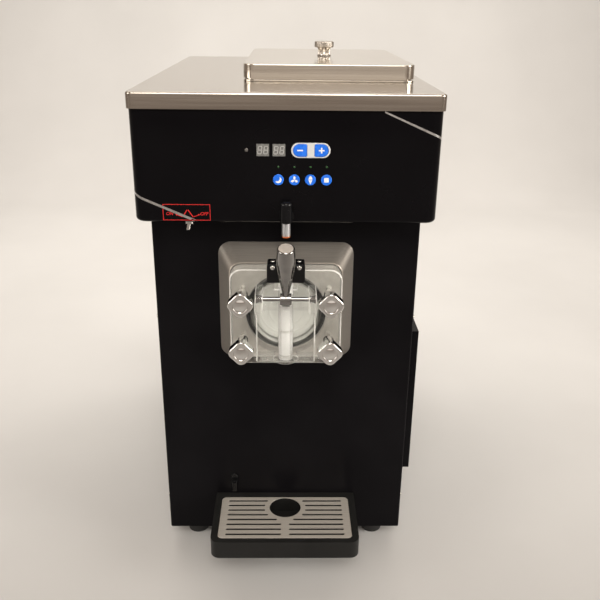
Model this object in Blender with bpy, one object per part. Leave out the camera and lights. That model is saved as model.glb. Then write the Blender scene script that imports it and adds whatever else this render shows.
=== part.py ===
"""Countertop soft serve machine with one draw valve, modelled piece by piece.

Metres, +Z up, the front faces -Y. The origin is on the standing surface, under the middle of the machine.
"""

import math

import bmesh
import bpy
from mathutils import Matrix, Vector

MM = 0.001
CLEAR = 0.3 * MM
OVER = 2 * MM
WELD = 1 * MM
NEAR = 1e-6
SMOOTH_ANGLE = math.radians(35)
MID_ROUND = 1 - math.sqrt(0.5)

# Facets round a full turn
COARSE = 16
MEDIUM = 20
ROUND = 24
FINE = 32

# Casing
COVER_WIDTH = 404 * MM
COVER_DEPTH = 650 * MM
COVER_TOP = 735 * MM
COVER_SKIRT = 21 * MM
COVER_CORNER = 9 * MM
COVER_EDGE = 3 * MM
SHEET = 1.5 * MM
BODY_INSET = 14 * MM
BODY_WIDTH = COVER_WIDTH - 2 * BODY_INSET
FOOT_HEIGHT = 35 * MM
FOOT_RADIUS = 20 * MM
FOOT_TAPER = 3 * MM
FOOT_SIDE_INSET = 40 * MM
FOOT_END_INSET = 45 * MM
PANEL_SETBACK = 50 * MM
PANEL_RETURN = 12 * MM
PANEL_CORNER = 3 * MM
REAR_INSET = 10 * MM
PAN_RIM = 25 * MM
LOUVRE_HEIGHT = 5 * MM
LOUVRE_PITCH = 18 * MM
LOUVRE_COUNT = 8
LOUVRE_LENGTH = 220 * MM
LOUVRE_BOTTOM = 120 * MM

# Side vent cover
VENT_SETBACK = 63 * MM
VENT_LENGTH = 340 * MM
VENT_BOTTOM = 142 * MM
VENT_HEIGHT = 241 * MM
VENT_DEPTH = 11.4 * MM
VENT_MARGIN = 28 * MM
VENT_SLOT = 7 * MM
VENT_SLOTS = 9

# Control fascia
FASCIA_INSET = 1 * MM
FASCIA_WIDTH = COVER_WIDTH - 2 * FASCIA_INSET
FASCIA_SETBACK = 3 * MM
FASCIA_DEPTH = 72 * MM
FASCIA_HEIGHT = 146.7 * MM
FASCIA_WALL = 3 * MM
FASCIA_CORNER = 16 * MM
FASCIA_EDGE = 5 * MM
ROW_UPPER_DROP = 71.5 * MM
ROW_PITCH = 38.3 * MM
DISPLAY_X = (-30.3 * MM, -9.6 * MM)
DISPLAY_WIDTH = 16.2 * MM
DISPLAY_HEIGHT = 15.6 * MM
PILL_X = 31.3 * MM
PILL_WIDTH = 50.4 * MM
PILL_HEIGHT = 19.2 * MM
PILL_THICK = 0.8 * MM
STEP_KEY_SPREAD = 27.6 * MM
STEP_KEY_WIDTH = 18 * MM
STEP_KEY_HEIGHT = 16 * MM
STEP_KEY_CORNER = 7 * MM
MODE_KEY_X = -10.4 * MM
MODE_KEY_PITCH = 20.85 * MM
MODE_KEY_RADIUS = 7.1 * MM
KEY_PROUD = 1 * MM
KEY_TRAVEL = 0.6 * MM
BOARD_GAP = 9 * MM
BOARD_THICK = 1.6 * MM
BOARD_MARGIN = 22 * MM
POST_RADIUS = 3 * MM

# Power toggle
TOGGLE_INSET = 71 * MM
TOGGLE_X = TOGGLE_INSET - FASCIA_WIDTH / 2
TOGGLE_SETBACK = 12 * MM
TOGGLE_BODY = 13 * MM
TOGGLE_BODY_HEIGHT = 20 * MM
BUSHING_RADIUS = 5.6 * MM
BUSHING_DROP = 5 * MM
TOGGLE_BALL = 4.2 * MM
TOGGLE_LENGTH = 13.5 * MM
TOGGLE_NECK = 1.7 * MM
TOGGLE_TIP = 2.7 * MM
TOGGLE_LEAN = math.radians(10)

# Hopper and lid
LID_WIDTH = 244 * MM
LID_RIGHT_INSET = 20 * MM
LID_X = COVER_WIDTH / 2 - LID_RIGHT_INSET - LID_WIDTH / 2
LID_SETBACK = 139 * MM
LID_DEPTH = 370 * MM
LID_HEIGHT = 21.4 * MM
LID_CORNER = 16 * MM
LID_EDGE = 1.5 * MM
RIM_THICK = 2 * MM
TANK_INSET = 12.5 * MM
TANK_DEPTH = 160 * MM
TANK_CORNER = 4 * MM
TANK_PLAY = 1 * MM
KNOB_RADIUS = 15.5 * MM
KNOB_CAP = 9.5 * MM
KNOB_STEM = 9.2 * MM
KNOB_WAIST = 7.8 * MM
KNOB_FOOT = 10.1 * MM
KNOB_EDGE = 1.2 * MM
KNOB_HEIGHT = 22.2 * MM
OUTLET_SETBACK = 185 * MM
OUTLET_RADIUS = 12 * MM
OUTLET_WALL = 2 * MM

# Freezing cylinder and bezel
AXIS_DROP = 297.5 * MM
BEZEL_DEPTH = 40 * MM
BEZEL_FLARE = 17.4 * MM
BEZEL_GAP = 0.5 * MM
BEZEL_CORNER = 18 * MM
CYL_RADIUS = 50 * MM
CYL_WALL = 2.5 * MM
CYL_LENGTH = 320 * MM
CYL_PLATE = 8 * MM
FLANGE_INSET = 1.5 * MM
INLET_HEIGHT = 18 * MM
INLET_WALL = 3.5 * MM
STUD_RADIUS = 4 * MM
STUD_X = 59.5 * MM
STUD_Z = 34.5 * MM
BULKHEAD_SETBACK = 110 * MM
BULKHEAD_BELOW = 70 * MM
BULKHEAD_ABOVE = 100 * MM

# Beater
BEATER_GAP = 2.5 * MM
BEATER_SHAFT = 14 * MM
BEATER_BLADE = 3.5 * MM
BEATER_ROOT = 3 * MM
BEATER_END_GAP = 2 * MM
BEATER_TURNS = 3
BEATER_STEPS = 14
DRIVE_RADIUS = 10 * MM
DRIVE_REACH = 28 * MM

# Dispensing door
DOOR_WIDTH = 153 * MM
DOOR_HEIGHT = 139 * MM
DOOR_THICK = 24 * MM
DOOR_CORNER = 16 * MM
CHAMBER_RADIUS = 46 * MM
CHAMBER_DEPTH = 8 * MM
GASKET_WIDTH = 6 * MM
GASKET_THICK = 2.8 * MM
BLOCK_HALF = 40 * MM
BLOCK_DEPTH = 34 * MM
BLOCK_DROP = 51.5 * MM
BLOCK_RISE = 24.5 * MM
BLOCK_CORNER = 5 * MM
TOWER_HALF = 16 * MM
TOWER_RISE = 50.5 * MM
EAR_THICK = 10 * MM
EAR_PROUD = 0.5 * MM
EAR_RADIUS = 9 * MM
EAR_DROP = 20 * MM
NOZZLE_RADIUS = 18 * MM
NOZZLE_DROP = 57.5 * MM
PORT_RADIUS = 5.5 * MM
PORT_DROP = 38.2 * MM

# Draw valve
PLUNGER_RADIUS = 9.75 * MM
PLUNGER_GAP = 0.45 * MM
PLUNGER_DROP = 55.5 * MM
PLUNGER_WALL = 1 * MM
SEAL_DROPS = (49.5 * MM, 12.5 * MM)
SEAL_THICK = 2.6 * MM
SEAL_DEPTH = 1.6 * MM
SEAL_PROUD = 0.2 * MM
SPIGOT_RADIUS = 6 * MM
SPIGOT_HEIGHT = 15 * MM
HEAD_HALF = 25 * MM
HEAD_DEPTH = 24 * MM
HEAD_GAP = 0.8 * MM
HEAD_HEIGHT = 25.5 * MM
HEAD_EDGE = 3 * MM
HEAD_CLEAR = 9.5 * MM
PIN_RADIUS = 3 * MM
PIN_RISE = 40 * MM
PIN_CAP_RADIUS = 5.3 * MM
PIN_CAP_PROUD = 1 * MM
PIN_SEAT = 6 * MM
ARM_LENGTH = 20 * MM
ARM_RADIUS = 4 * MM
ARM_NECK = 2.2 * MM
ARM_HALF = 5 * MM
ARM_DROP = math.radians(32)
ARM_PLAY = 1 * MM
EYE_RADIUS = 8 * MM
EYE_HALF = 7.5 * MM
HANDLE_TILT = math.radians(22.72)
HANDLE_LENGTH = 88 * MM
HANDLE_NECK = 4.6 * MM
HANDLE_RADIUS = 12.3 * MM
HANDLE_FLARE = 22 * MM
HANDLE_ROUND = 5 * MM
HANDLE_SWELL = 0.5 * MM

# Hand screws
SCREW_RADIUS = 15.6 * MM
SCREW_LOBE = 1.3 * MM
SCREW_LOBES = 4
SCREW_HEAD = 15 * MM
SCREW_NECK = 8 * MM
SCREW_LENGTH = 44 * MM
SCREW_CAP = 9 * MM
SCREW_EDGE = 1.6 * MM

# Draw sensor
SENSOR_RADIUS = 5.8 * MM
SENSOR_LENGTH = 35 * MM
HOLDER_RADIUS = 8 * MM
HOLDER_RISE = 3 * MM
HOLDER_HEIGHT = 28.5 * MM
HOLDER_PAD = 4.5 * MM
HOLDER_PAD_RISE = 1 * MM
SENSOR_SEAT = 15 * MM

# Drip tray
TRAY_WIDTH = 221 * MM
TRAY_TOP = 102 * MM
TRAY_HEIGHT = 28.6 * MM
TRAY_REACH = 120 * MM
TRAY_CORNER = 14 * MM
TRAY_WALL = 3 * MM
TRAY_RIM = 9.5 * MM
GRILLE_LEDGE = 4 * MM
GRILLE_THICK = 1.5 * MM
GRILLE_SINK = 0.5 * MM
GRILLE_SLACK = 0.5 * MM
GRILLE_BACK_SLACK = 2 * MM
GRILLE_CORNER = 8 * MM
GRILLE_HOLE = 24.5 * MM
GRILLE_HOLE_BACK = 26 * MM
GRILLE_LAND = 7 * MM
SLOT_WIDTH = 4.2 * MM
SLOT_PITCH = 11.4 * MM
SLOT_ROWS = 8
SLOT_END_MARGIN = 11 * MM
SLOT_MIDDLE = 5.5 * MM
SLOT_FIRST = 9.5 * MM
HOOK_X = 70 * MM
HOOK_WIDTH = 14 * MM
HOOK_LIFT = 6 * MM
HOOK_THICK = 6 * MM
HOOK_LIP = 6 * MM
HOOK_BELOW_TOP = 12 * MM

# Leak spout
SPOUT_X = -81 * MM
SPOUT_RADIUS = 5 * MM
SPOUT_BOTTOM = 113 * MM
SPOUT_TOP = 134 * MM
SPOUT_REACH = 7.5 * MM
SPOUT_INSIDE = 24 * MM
SPOUT_BEND = 6 * MM

# Drive
GEARBOX_HALF_WIDTH = 55 * MM
GEARBOX_HALF_HEIGHT = 60 * MM
GEARBOX_LENGTH = 92 * MM
GEARBOX_CORNER = 8 * MM
PULLEY_GAP = 10 * MM
PULLEY_WIDTH = 22 * MM
BIG_PULLEY = 70 * MM
SMALL_PULLEY = 35 * MM
PULLEY_SHAFT = 8 * MM
SHAFT_SEAT = 30 * MM
BELT_THICK = 5 * MM
BELT_MARGIN = 3 * MM
BELT_PLAY = 0.5 * MM
MOTOR_X = -60 * MM
MOTOR_RADIUS = 62 * MM
MOTOR_LENGTH = 190 * MM
MOTOR_STAND = 30 * MM
MOTOR_FOOT_HALF = 45 * MM
MOTOR_FOOT_INSET = 28 * MM

# Refrigeration
COMPRESSOR_X = -60 * MM
COMPRESSOR_SETBACK = 150 * MM
COMPRESSOR_RADIUS = 66 * MM
COMPRESSOR_HEIGHT = 190 * MM
COMPRESSOR_PLATE = 4 * MM
COMPRESSOR_CORNER = 8 * MM
CONDENSER_GAP = 10 * MM
CONDENSER_THICK = 36 * MM
CONDENSER_SETBACK = 85 * MM
CONDENSER_LENGTH = 290 * MM
CONDENSER_HEADROOM = 10.7 * MM
FIN_COUNT = 12
FIN_GROOVE = 6 * MM
FIN_GROOVE_DEPTH = 4 * MM
FAN_RADIUS = 95 * MM
FAN_HUB = 22 * MM
FAN_WIDTH = 18 * MM
FAN_BLADES = 5
FAN_PITCH = math.radians(28)
FAN_BLADE_THICK = 2.5 * MM
FAN_BLADE_HALF = 20 * MM
FAN_BLADE_ROOT = 13 * MM
FAN_GAP = 8 * MM
FAN_SHAFT = 5 * MM
FAN_MOTOR_RADIUS = 35 * MM
FAN_MOTOR_LENGTH = 46 * MM
FAN_MOTOR_GAP = 2 * MM
BRACKET_THICK = 4 * MM
BRACKET_WIDTH = 30 * MM
BRACKET_MARGIN = 12 * MM

# Cord gland
GLAND_INSET = 48 * MM
GLAND_X = GLAND_INSET - BODY_WIDTH / 2
GLAND_Z = 90 * MM
GLAND_RADIUS = 11 * MM
GLAND_BARREL = 8 * MM
GLAND_BORE = 4 * MM
GLAND_TAPER = 2 * MM
GLAND_PROUD = 8 * MM
GLAND_INSIDE = 14 * MM

# Places worked out from the sizes above
AXIS_Z = COVER_TOP - AXIS_DROP
BLOCK_BOTTOM = AXIS_Z - BLOCK_DROP
BLOCK_TOP = AXIS_Z + BLOCK_RISE
TOWER_TOP = AXIS_Z + TOWER_RISE
NOZZLE_BOTTOM = AXIS_Z - NOZZLE_DROP
PORT_Z = AXIS_Z - PORT_DROP
PLUNGER_BOTTOM = AXIS_Z - PLUNGER_DROP
SEAL_Z = tuple(AXIS_Z - drop for drop in SEAL_DROPS)
PIN_Z = AXIS_Z + PIN_RISE
BORE_RADIUS = PLUNGER_RADIUS + PLUNGER_GAP
HANDLE_PROFILE = (
    (0.0, 0.0),
    (HANDLE_NECK, 0.0),
    (HANDLE_NECK, EYE_RADIUS),
    (HANDLE_RADIUS - HANDLE_SWELL, HANDLE_LENGTH - HANDLE_FLARE),
    (HANDLE_RADIUS, HANDLE_LENGTH - HANDLE_FLARE / 2),
    (HANDLE_RADIUS, HANDLE_LENGTH - HANDLE_ROUND),
    (HANDLE_RADIUS - MID_ROUND * HANDLE_ROUND, HANDLE_LENGTH - MID_ROUND * HANDLE_ROUND),
    (HANDLE_RADIUS - HANDLE_ROUND, HANDLE_LENGTH),
    (0.0, HANDLE_LENGTH),
)
TILT_SIN = math.sin(HANDLE_TILT)
TILT_COS = math.cos(HANDLE_TILT)
HANDLE_FORWARD = max(h * TILT_SIN + r * TILT_COS for r, h in HANDLE_PROFILE)
VALVE_AHEAD = BORE_RADIUS + PLUNGER_WALL
PIN_AHEAD = BEZEL_DEPTH - PANEL_SETBACK + DOOR_THICK + VALVE_AHEAD + ARM_LENGTH
HANDLE_REACH = PIN_AHEAD + HANDLE_FORWARD
COVER_FRONT = (HANDLE_REACH - COVER_DEPTH) / 2
COVER_BACK = COVER_FRONT + COVER_DEPTH
COVER_UNDER = COVER_TOP - SHEET
SKIRT_BOTTOM = COVER_TOP - COVER_SKIRT
PANEL_FRONT = COVER_FRONT + PANEL_SETBACK
PANEL_BACK = PANEL_FRONT + SHEET
PANEL_TOP = COVER_UNDER - CLEAR
REAR_BACK = COVER_BACK - REAR_INSET
REAR_FRONT = REAR_BACK - SHEET
BODY_HALF = BODY_WIDTH / 2
INSIDE_HALF = BODY_HALF - SHEET
FASCIA_FRONT = COVER_FRONT + FASCIA_SETBACK
FASCIA_BACK = FASCIA_FRONT + FASCIA_DEPTH
FASCIA_TOP = SKIRT_BOTTOM - CLEAR
FASCIA_BOTTOM = FASCIA_TOP - FASCIA_HEIGHT
FASCIA_INSIDE = FASCIA_FRONT + FASCIA_WALL
ROW_UPPER = COVER_TOP - ROW_UPPER_DROP
ROW_LOWER = ROW_UPPER - ROW_PITCH
HOLDER_BOTTOM = FASCIA_BOTTOM + HOLDER_RISE
HOLDER_TOP = HOLDER_BOTTOM + HOLDER_HEIGHT
SENSOR_TIP = HOLDER_BOTTOM + SENSOR_SEAT - SENSOR_LENGTH
BOARD_FRONT = FASCIA_INSIDE + BOARD_GAP
PAN_FLOOR = FOOT_HEIGHT + SHEET + CLEAR
FACE = PANEL_FRONT - BEZEL_DEPTH
DOOR_FRONT = FACE - DOOR_THICK
VALVE_Y = DOOR_FRONT - VALVE_AHEAD
PIN_Y = VALVE_Y - ARM_LENGTH
BLOCK_FRONT = DOOR_FRONT - BLOCK_DEPTH
FLANGE_FRONT = FACE + CLEAR
CYL_OUTER = CYL_RADIUS + CYL_WALL
CYL_BACK = FLANGE_FRONT + CYL_LENGTH
GEARBOX_FRONT = CYL_BACK + CLEAR
GEARBOX_BACK = GEARBOX_FRONT + GEARBOX_LENGTH
PULLEY_FRONT = GEARBOX_BACK + PULLEY_GAP
MOTOR_Z = PAN_FLOOR + MOTOR_STAND + MOTOR_RADIUS
HEAD_BOTTOM = TOWER_TOP + HEAD_CLEAR
ARM_TIP_Z = PIN_Z - ARM_LENGTH * math.sin(ARM_DROP)
LID_FRONT = COVER_FRONT + LID_SETBACK
RIM_BOTTOM = COVER_TOP + CLEAR
RIM_TOP = RIM_BOTTOM + RIM_THICK
LID_BOTTOM = RIM_TOP + CLEAR
LID_TOP = LID_BOTTOM + LID_HEIGHT
TANK_BOTTOM = RIM_BOTTOM - TANK_DEPTH
OUTLET_Y = COVER_FRONT + OUTLET_SETBACK
TRAY_BACK = PANEL_FRONT - CLEAR
TRAY_FRONT = TRAY_BACK - TRAY_REACH
TRAY_BOTTOM = TRAY_TOP - TRAY_HEIGHT
SEAT_TOP = TRAY_TOP - GRILLE_SINK - GRILLE_THICK - CLEAR
GRILLE_BACK = TRAY_BACK - TRAY_RIM + GRILLE_SLACK - GRILLE_BACK_SLACK
CONDENSER_RIGHT = INSIDE_HALF - CONDENSER_GAP
CONDENSER_LEFT = CONDENSER_RIGHT - CONDENSER_THICK
CONDENSER_FRONT = COVER_FRONT + CONDENSER_SETBACK
CONDENSER_TOP = AXIS_Z - BULKHEAD_BELOW - CONDENSER_HEADROOM
CONDENSER_HEIGHT = CONDENSER_TOP - PAN_FLOOR
FAN_Y = CONDENSER_FRONT + CONDENSER_LENGTH / 2
FAN_Z = PAN_FLOOR + CONDENSER_HEIGHT / 2
FAN_RIGHT = CONDENSER_LEFT - FAN_GAP
FAN_MOTOR_RIGHT = FAN_RIGHT - FAN_WIDTH - FAN_MOTOR_GAP


def clear_scene():
    for old in list(bpy.data.objects):
        bpy.data.objects.remove(old)


def finish(name, colour, roughness, metallic=0.0, clearness=0.0):
    """A Principled material with the piece's own colour and gloss."""
    made = bpy.data.materials.new(name)
    made.use_nodes = True
    shader = made.node_tree.nodes["Principled BSDF"]
    shader.inputs["Base Color"].default_value = (*colour, 1.0)
    shader.inputs["Roughness"].default_value = roughness
    shader.inputs["Metallic"].default_value = metallic
    shader.inputs["Transmission Weight"].default_value = clearness
    return made


def to_object(name, shape):
    """Turns a bmesh into an object with faces out and round parts shaded smooth."""
    bmesh.ops.remove_doubles(shape, verts=shape.verts, dist=NEAR)
    bmesh.ops.recalc_face_normals(shape, faces=shape.faces)
    mesh = bpy.data.meshes.new(name)
    shape.to_mesh(mesh)
    shape.free()
    mesh.shade_smooth()
    mesh.set_sharp_from_angle(angle=SMOOTH_ANGLE)
    made = bpy.data.objects.new(name, mesh)
    bpy.context.scene.collection.objects.link(made)
    return made


def on_axis(axis, a, b, h):
    """A point from its two outline values and its height along the axis."""
    if axis == "X":
        return (h, a, b)
    if axis == "Y":
        return (a, h, b)
    return (a, b, h)


def prism(name, outline, axis, low, high):
    """A straight extrusion of a flat outline."""
    shape = bmesh.new()
    ends = []
    for height in (low, high):
        ends.append([shape.verts.new(on_axis(axis, a, b, height)) for a, b in outline])
    for ring in ends:
        shape.faces.new(ring)
    for i in range(len(outline)):
        j = (i + 1) % len(outline)
        shape.faces.new((ends[0][i], ends[0][j], ends[1][j], ends[1][i]))
    return to_object(name, shape)


def rounded(a, b, radius=0.0, steps=4):
    """The outline of a rectangle with round corners."""
    if radius <= 0:
        return [(a[0], b[0]), (a[1], b[0]), (a[1], b[1]), (a[0], b[1])]
    radius = min(radius, 0.499 * (a[1] - a[0]), 0.499 * (b[1] - b[0]))
    corners = (
        (a[1] - radius, b[1] - radius, 0),
        (a[0] + radius, b[1] - radius, 90),
        (a[0] + radius, b[0] + radius, 180),
        (a[1] - radius, b[0] + radius, 270),
    )
    points = []
    for centre_a, centre_b, start in corners:
        for step in range(steps + 1):
            angle = math.radians(start + 90 * step / steps)
            points.append((centre_a + radius * math.cos(angle), centre_b + radius * math.sin(angle)))
    return points


def block(name, x, y, z, radius=0.0, axis="Z"):
    """A box between two values each way, with its edges along one axis rounded."""
    spans = {"X": (y, z, x), "Y": (x, z, y), "Z": (x, y, z)}
    a, b, along = spans[axis]
    return prism(name, rounded(a, b, radius), axis, along[0], along[1])


def turned(name, profile, at, axis="Z", steps=ROUND, ring=False):
    """A solid turned about an axis through a point, from (radius, height) pairs."""
    shape = bmesh.new()
    points = [shape.verts.new((r, 0.0, h)) for r, h in profile]
    count = len(points) if ring else len(points) - 1
    edges = [shape.edges.new((points[i], points[(i + 1) % len(points)])) for i in range(count)]
    bmesh.ops.spin(
        shape, geom=points + edges, cent=(0, 0, 0), axis=(0, 0, 1), angle=2 * math.pi, steps=steps
    )
    turn = {
        "X": Matrix.Rotation(math.pi / 2, 4, "Y"),
        "Y": Matrix.Rotation(-math.pi / 2, 4, "X"),
        "Z": Matrix.Identity(4),
    }
    bmesh.ops.transform(shape, matrix=Matrix.Translation(at) @ turn[axis], verts=shape.verts)
    return to_object(name, shape)


def rod(name, radius, low, high, at, axis="Z", steps=ROUND):
    """A plain cylinder along an axis, between two distances from a point on it."""
    return turned(name, ((0, low), (radius, low), (radius, high), (0, high)), at, axis, steps)


def ring(name, inner, outer, low, high, at, axis="Z", steps=ROUND):
    """A plain ring with a square section."""
    profile = ((inner, low), (outer, low), (outer, high), (inner, high))
    return turned(name, profile, at, axis, steps, ring=True)


def helper(tool):
    tool.hide_render = True
    tool.display_type = "WIRE"


def combine(target, operation, tools, solver="EXACT"):
    for tool in tools:
        helper(tool)
        change = target.modifiers.new(tool.name, "BOOLEAN")
        change.operation = operation
        change.solver = solver
        change.object = tool


def cut(target, *tools, solver="EXACT"):
    combine(target, "DIFFERENCE", tools, solver)
    return target


def fuse(target, *tools, solver="EXACT"):
    combine(target, "UNION", tools, solver)
    return target


def soften(target, width, segments, chosen):
    """Rounds the chosen edges of a piece's own mesh."""
    shape = bmesh.new()
    shape.from_mesh(target.data)
    edges = [edge for edge in shape.edges if chosen(edge.verts[0].co, edge.verts[1].co)]
    bmesh.ops.bevel(
        shape, geom=edges, offset=width, segments=segments, profile=0.5, affect="EDGES"
    )
    bmesh.ops.recalc_face_normals(shape, faces=shape.faces)
    shape.to_mesh(target.data)
    shape.free()
    target.data.shade_smooth()
    target.data.set_sharp_from_angle(angle=SMOOTH_ANGLE)
    return target


def place(made, material, parent, origin=None):
    """Gives a piece its material and parent, and sets its origin on its joint's axis."""
    made.data.materials.append(material)
    if origin is not None:
        made.data.transform(Matrix.Translation(-Vector(origin)))
        made.location = origin
    made.parent = parent
    return made


def level(height):
    """Chooses the edges that lie at one height."""
    return lambda p, q: abs(p.z - height) < NEAR and abs(q.z - height) < NEAR


def many(name, shapes):
    """One cutter made of several separate boxes, given as (x, y, z) spans."""
    joined = bmesh.new()
    for x, y, z in shapes:
        size = Matrix.Diagonal((x[1] - x[0], y[1] - y[0], z[1] - z[0], 1))
        middle = Matrix.Translation(((x[0] + x[1]) / 2, (y[0] + y[1]) / 2, (z[0] + z[1]) / 2))
        bmesh.ops.create_cube(joined, size=1, matrix=middle @ size)
    return to_object(name, joined)


# Casing pieces


def base_pan(paint, parent):
    half = INSIDE_HALF - CLEAR
    front = PANEL_BACK + CLEAR
    back = REAR_FRONT - CLEAR
    pan = block("base_pan", (-half, half), (front, back), (FOOT_HEIGHT, FOOT_HEIGHT + PAN_RIM))
    hollow = block(
        "base_pan_hollow",
        (-half + SHEET, half - SHEET),
        (front + SHEET, back - SHEET),
        (FOOT_HEIGHT + SHEET, FOOT_HEIGHT + PAN_RIM + OVER),
    )
    place(cut(pan, hollow), paint, parent)


def feet(rubber, parent):
    top = FOOT_HEIGHT - CLEAR
    profile = ((0, 0), (FOOT_RADIUS - FOOT_TAPER, 0), (FOOT_RADIUS, top), (0, top))
    x = BODY_HALF - FOOT_SIDE_INSET
    rows = (("front", PANEL_FRONT + FOOT_END_INSET), ("rear", REAR_BACK - FOOT_END_INSET))
    for row, y in rows:
        for side, sign in (("left", -1), ("right", 1)):
            foot = turned(f"foot_{row}_{side}", profile, (sign * x, y, 0))
            place(foot, rubber, parent)


def front_panel(paint, parent):
    back = PANEL_FRONT + PANEL_RETURN
    panel = block("front_panel", (-BODY_HALF, BODY_HALF), (PANEL_FRONT, back), (FOOT_HEIGHT, PANEL_TOP))
    soften(
        panel,
        PANEL_CORNER,
        3,
        lambda p, q: abs(p.x - q.x) < NEAR and max(p.y, q.y) < PANEL_FRONT + NEAR,
    )
    hollow = block(
        "front_panel_hollow",
        (-INSIDE_HALF, INSIDE_HALF),
        (PANEL_BACK, back + OVER),
        (FOOT_HEIGHT - OVER, PANEL_TOP + OVER),
    )
    through = (PANEL_FRONT - OVER, PANEL_BACK + OVER)
    half_x = DOOR_WIDTH / 2 + BEZEL_FLARE / 2
    half_z = DOOR_HEIGHT / 2 + BEZEL_FLARE / 2
    window = block(
        "front_panel_window",
        (-half_x, half_x),
        through,
        (AXIS_Z - half_z, AXIS_Z + half_z),
        DOOR_CORNER,
        "Y",
    )
    low, high = hook_stem()
    reach = HOOK_WIDTH / 2 + CLEAR
    slots = many(
        "front_panel_hook_slots",
        [
            ((x - reach, x + reach), through, (low - CLEAR, high + HOOK_LIFT + CLEAR))
            for x in (-HOOK_X, HOOK_X)
        ],
    )
    spout_at = (SPOUT_X, 0, SPOUT_TOP)
    spout_hole = rod("front_panel_spout_hole", SPOUT_RADIUS + CLEAR, *through, spout_at, "Y", COARSE)
    place(cut(panel, hollow, window, slots, spout_hole), paint, parent)


def hook_stem():
    """Lowest and highest level of the tray hooks where they pass the front panel."""
    high = TRAY_TOP - HOOK_BELOW_TOP
    return high - HOOK_THICK, high


def side_panel(side, sign, paint, parent):
    front = PANEL_FRONT + PANEL_RETURN + CLEAR
    back = REAR_FRONT - CLEAR
    span = sorted((sign * INSIDE_HALF, sign * BODY_HALF))
    through = (span[0] - OVER, span[1] + OVER)
    panel = block(f"{side}_side_panel", span, (front, back), (FOOT_HEIGHT, PANEL_TOP))
    if side == "right":
        opening = block(
            "right_side_panel_air_window",
            through,
            (vent_front() + VENT_MARGIN, vent_front() + VENT_LENGTH - VENT_MARGIN),
            (VENT_BOTTOM + VENT_MARGIN, VENT_BOTTOM + VENT_HEIGHT - VENT_MARGIN),
        )
    else:
        middle = (front + back) / 2
        opening = many(
            "left_side_panel_louvres",
            [
                (through, (middle - LOUVRE_LENGTH / 2, middle + LOUVRE_LENGTH / 2), louvre(i))
                for i in range(LOUVRE_COUNT)
            ],
        )
    place(cut(panel, opening), paint, parent)


def louvre(index):
    low = LOUVRE_BOTTOM + index * LOUVRE_PITCH
    return (low, low + LOUVRE_HEIGHT)


def rear_panel(paint, parent):
    panel = block("rear_panel", (-BODY_HALF, BODY_HALF), (REAR_FRONT, REAR_BACK), (FOOT_HEIGHT, PANEL_TOP))
    through = (REAR_FRONT - OVER, REAR_BACK + OVER)
    slots = many(
        "rear_panel_louvres",
        [
            ((-LOUVRE_LENGTH / 2, LOUVRE_LENGTH / 2), through, louvre(i + LOUVRE_COUNT))
            for i in range(LOUVRE_COUNT)
        ],
    )
    gland_at = (GLAND_X, 0, GLAND_Z)
    hole = rod("rear_panel_gland_hole", GLAND_BARREL + CLEAR, *through, gland_at, "Y", COARSE)
    place(cut(panel, slots, hole), paint, parent)


def top_cover(steel, parent):
    half = COVER_WIDTH / 2
    cover = block(
        "top_cover", (-half, half), (COVER_FRONT, COVER_BACK), (SKIRT_BOTTOM, COVER_TOP), COVER_CORNER
    )
    soften(cover, COVER_EDGE, 2, level(COVER_TOP))
    hollow = block(
        "top_cover_hollow",
        (-half + SHEET, half - SHEET),
        (COVER_FRONT + SHEET, COVER_BACK - SHEET),
        (SKIRT_BOTTOM - OVER, COVER_UNDER),
        COVER_CORNER - SHEET,
    )
    x, y = tank_spans(TANK_PLAY)
    opening = block("top_cover_opening", x, y, (COVER_UNDER - OVER, COVER_TOP + OVER), TANK_CORNER)
    place(cut(cover, hollow, opening), steel, parent)


def vent_front():
    return COVER_FRONT + VENT_SETBACK


def side_vent_cover(paint, parent):
    inner = BODY_HALF + CLEAR
    outer = inner + VENT_DEPTH
    front = vent_front()
    back = front + VENT_LENGTH
    top = VENT_BOTTOM + VENT_HEIGHT
    cover = block("side_vent_cover", (inner, outer), (front, back), (VENT_BOTTOM, top))
    hollow = block(
        "side_vent_cover_hollow",
        (inner - OVER, outer - SHEET),
        (front + SHEET, back - SHEET),
        (VENT_BOTTOM + SHEET, top - SHEET),
    )
    room = VENT_HEIGHT - 2 * VENT_MARGIN
    pitch = room / VENT_SLOTS
    slots = many(
        "side_vent_cover_slots",
        [
            (
                (outer - SHEET - OVER, outer + OVER),
                (front + VENT_MARGIN, back - VENT_MARGIN),
                (VENT_BOTTOM + VENT_MARGIN + i * pitch, VENT_BOTTOM + VENT_MARGIN + i * pitch + VENT_SLOT),
            )
            for i in range(VENT_SLOTS)
        ],
    )
    place(cut(cover, hollow, slots), paint, parent)


def cord_gland(plastic, parent):
    profile = (
        (0, -GLAND_INSIDE),
        (GLAND_BARREL, -GLAND_INSIDE),
        (GLAND_BARREL, CLEAR),
        (GLAND_RADIUS, CLEAR),
        (GLAND_RADIUS - GLAND_TAPER, GLAND_PROUD),
        (GLAND_BORE, GLAND_PROUD),
        (GLAND_BORE, 0),
        (0, 0),
    )
    gland = turned("cord_gland", profile, (GLAND_X, REAR_BACK, GLAND_Z), "Y", COARSE)
    place(gland, plastic, parent)


# Fascia and controls


def key_places():
    """Name, outline centre and kind of each key."""
    steps = [
        ("minus_key", PILL_X - STEP_KEY_SPREAD / 2, ROW_UPPER, "step"),
        ("plus_key", PILL_X + STEP_KEY_SPREAD / 2, ROW_UPPER, "step"),
    ]
    modes = [
        (f"{name}_key", MODE_KEY_X + i * MODE_KEY_PITCH, ROW_LOWER, "mode")
        for i, name in enumerate(("standby", "wash", "auto", "stop"))
    ]
    return steps + modes


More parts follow.
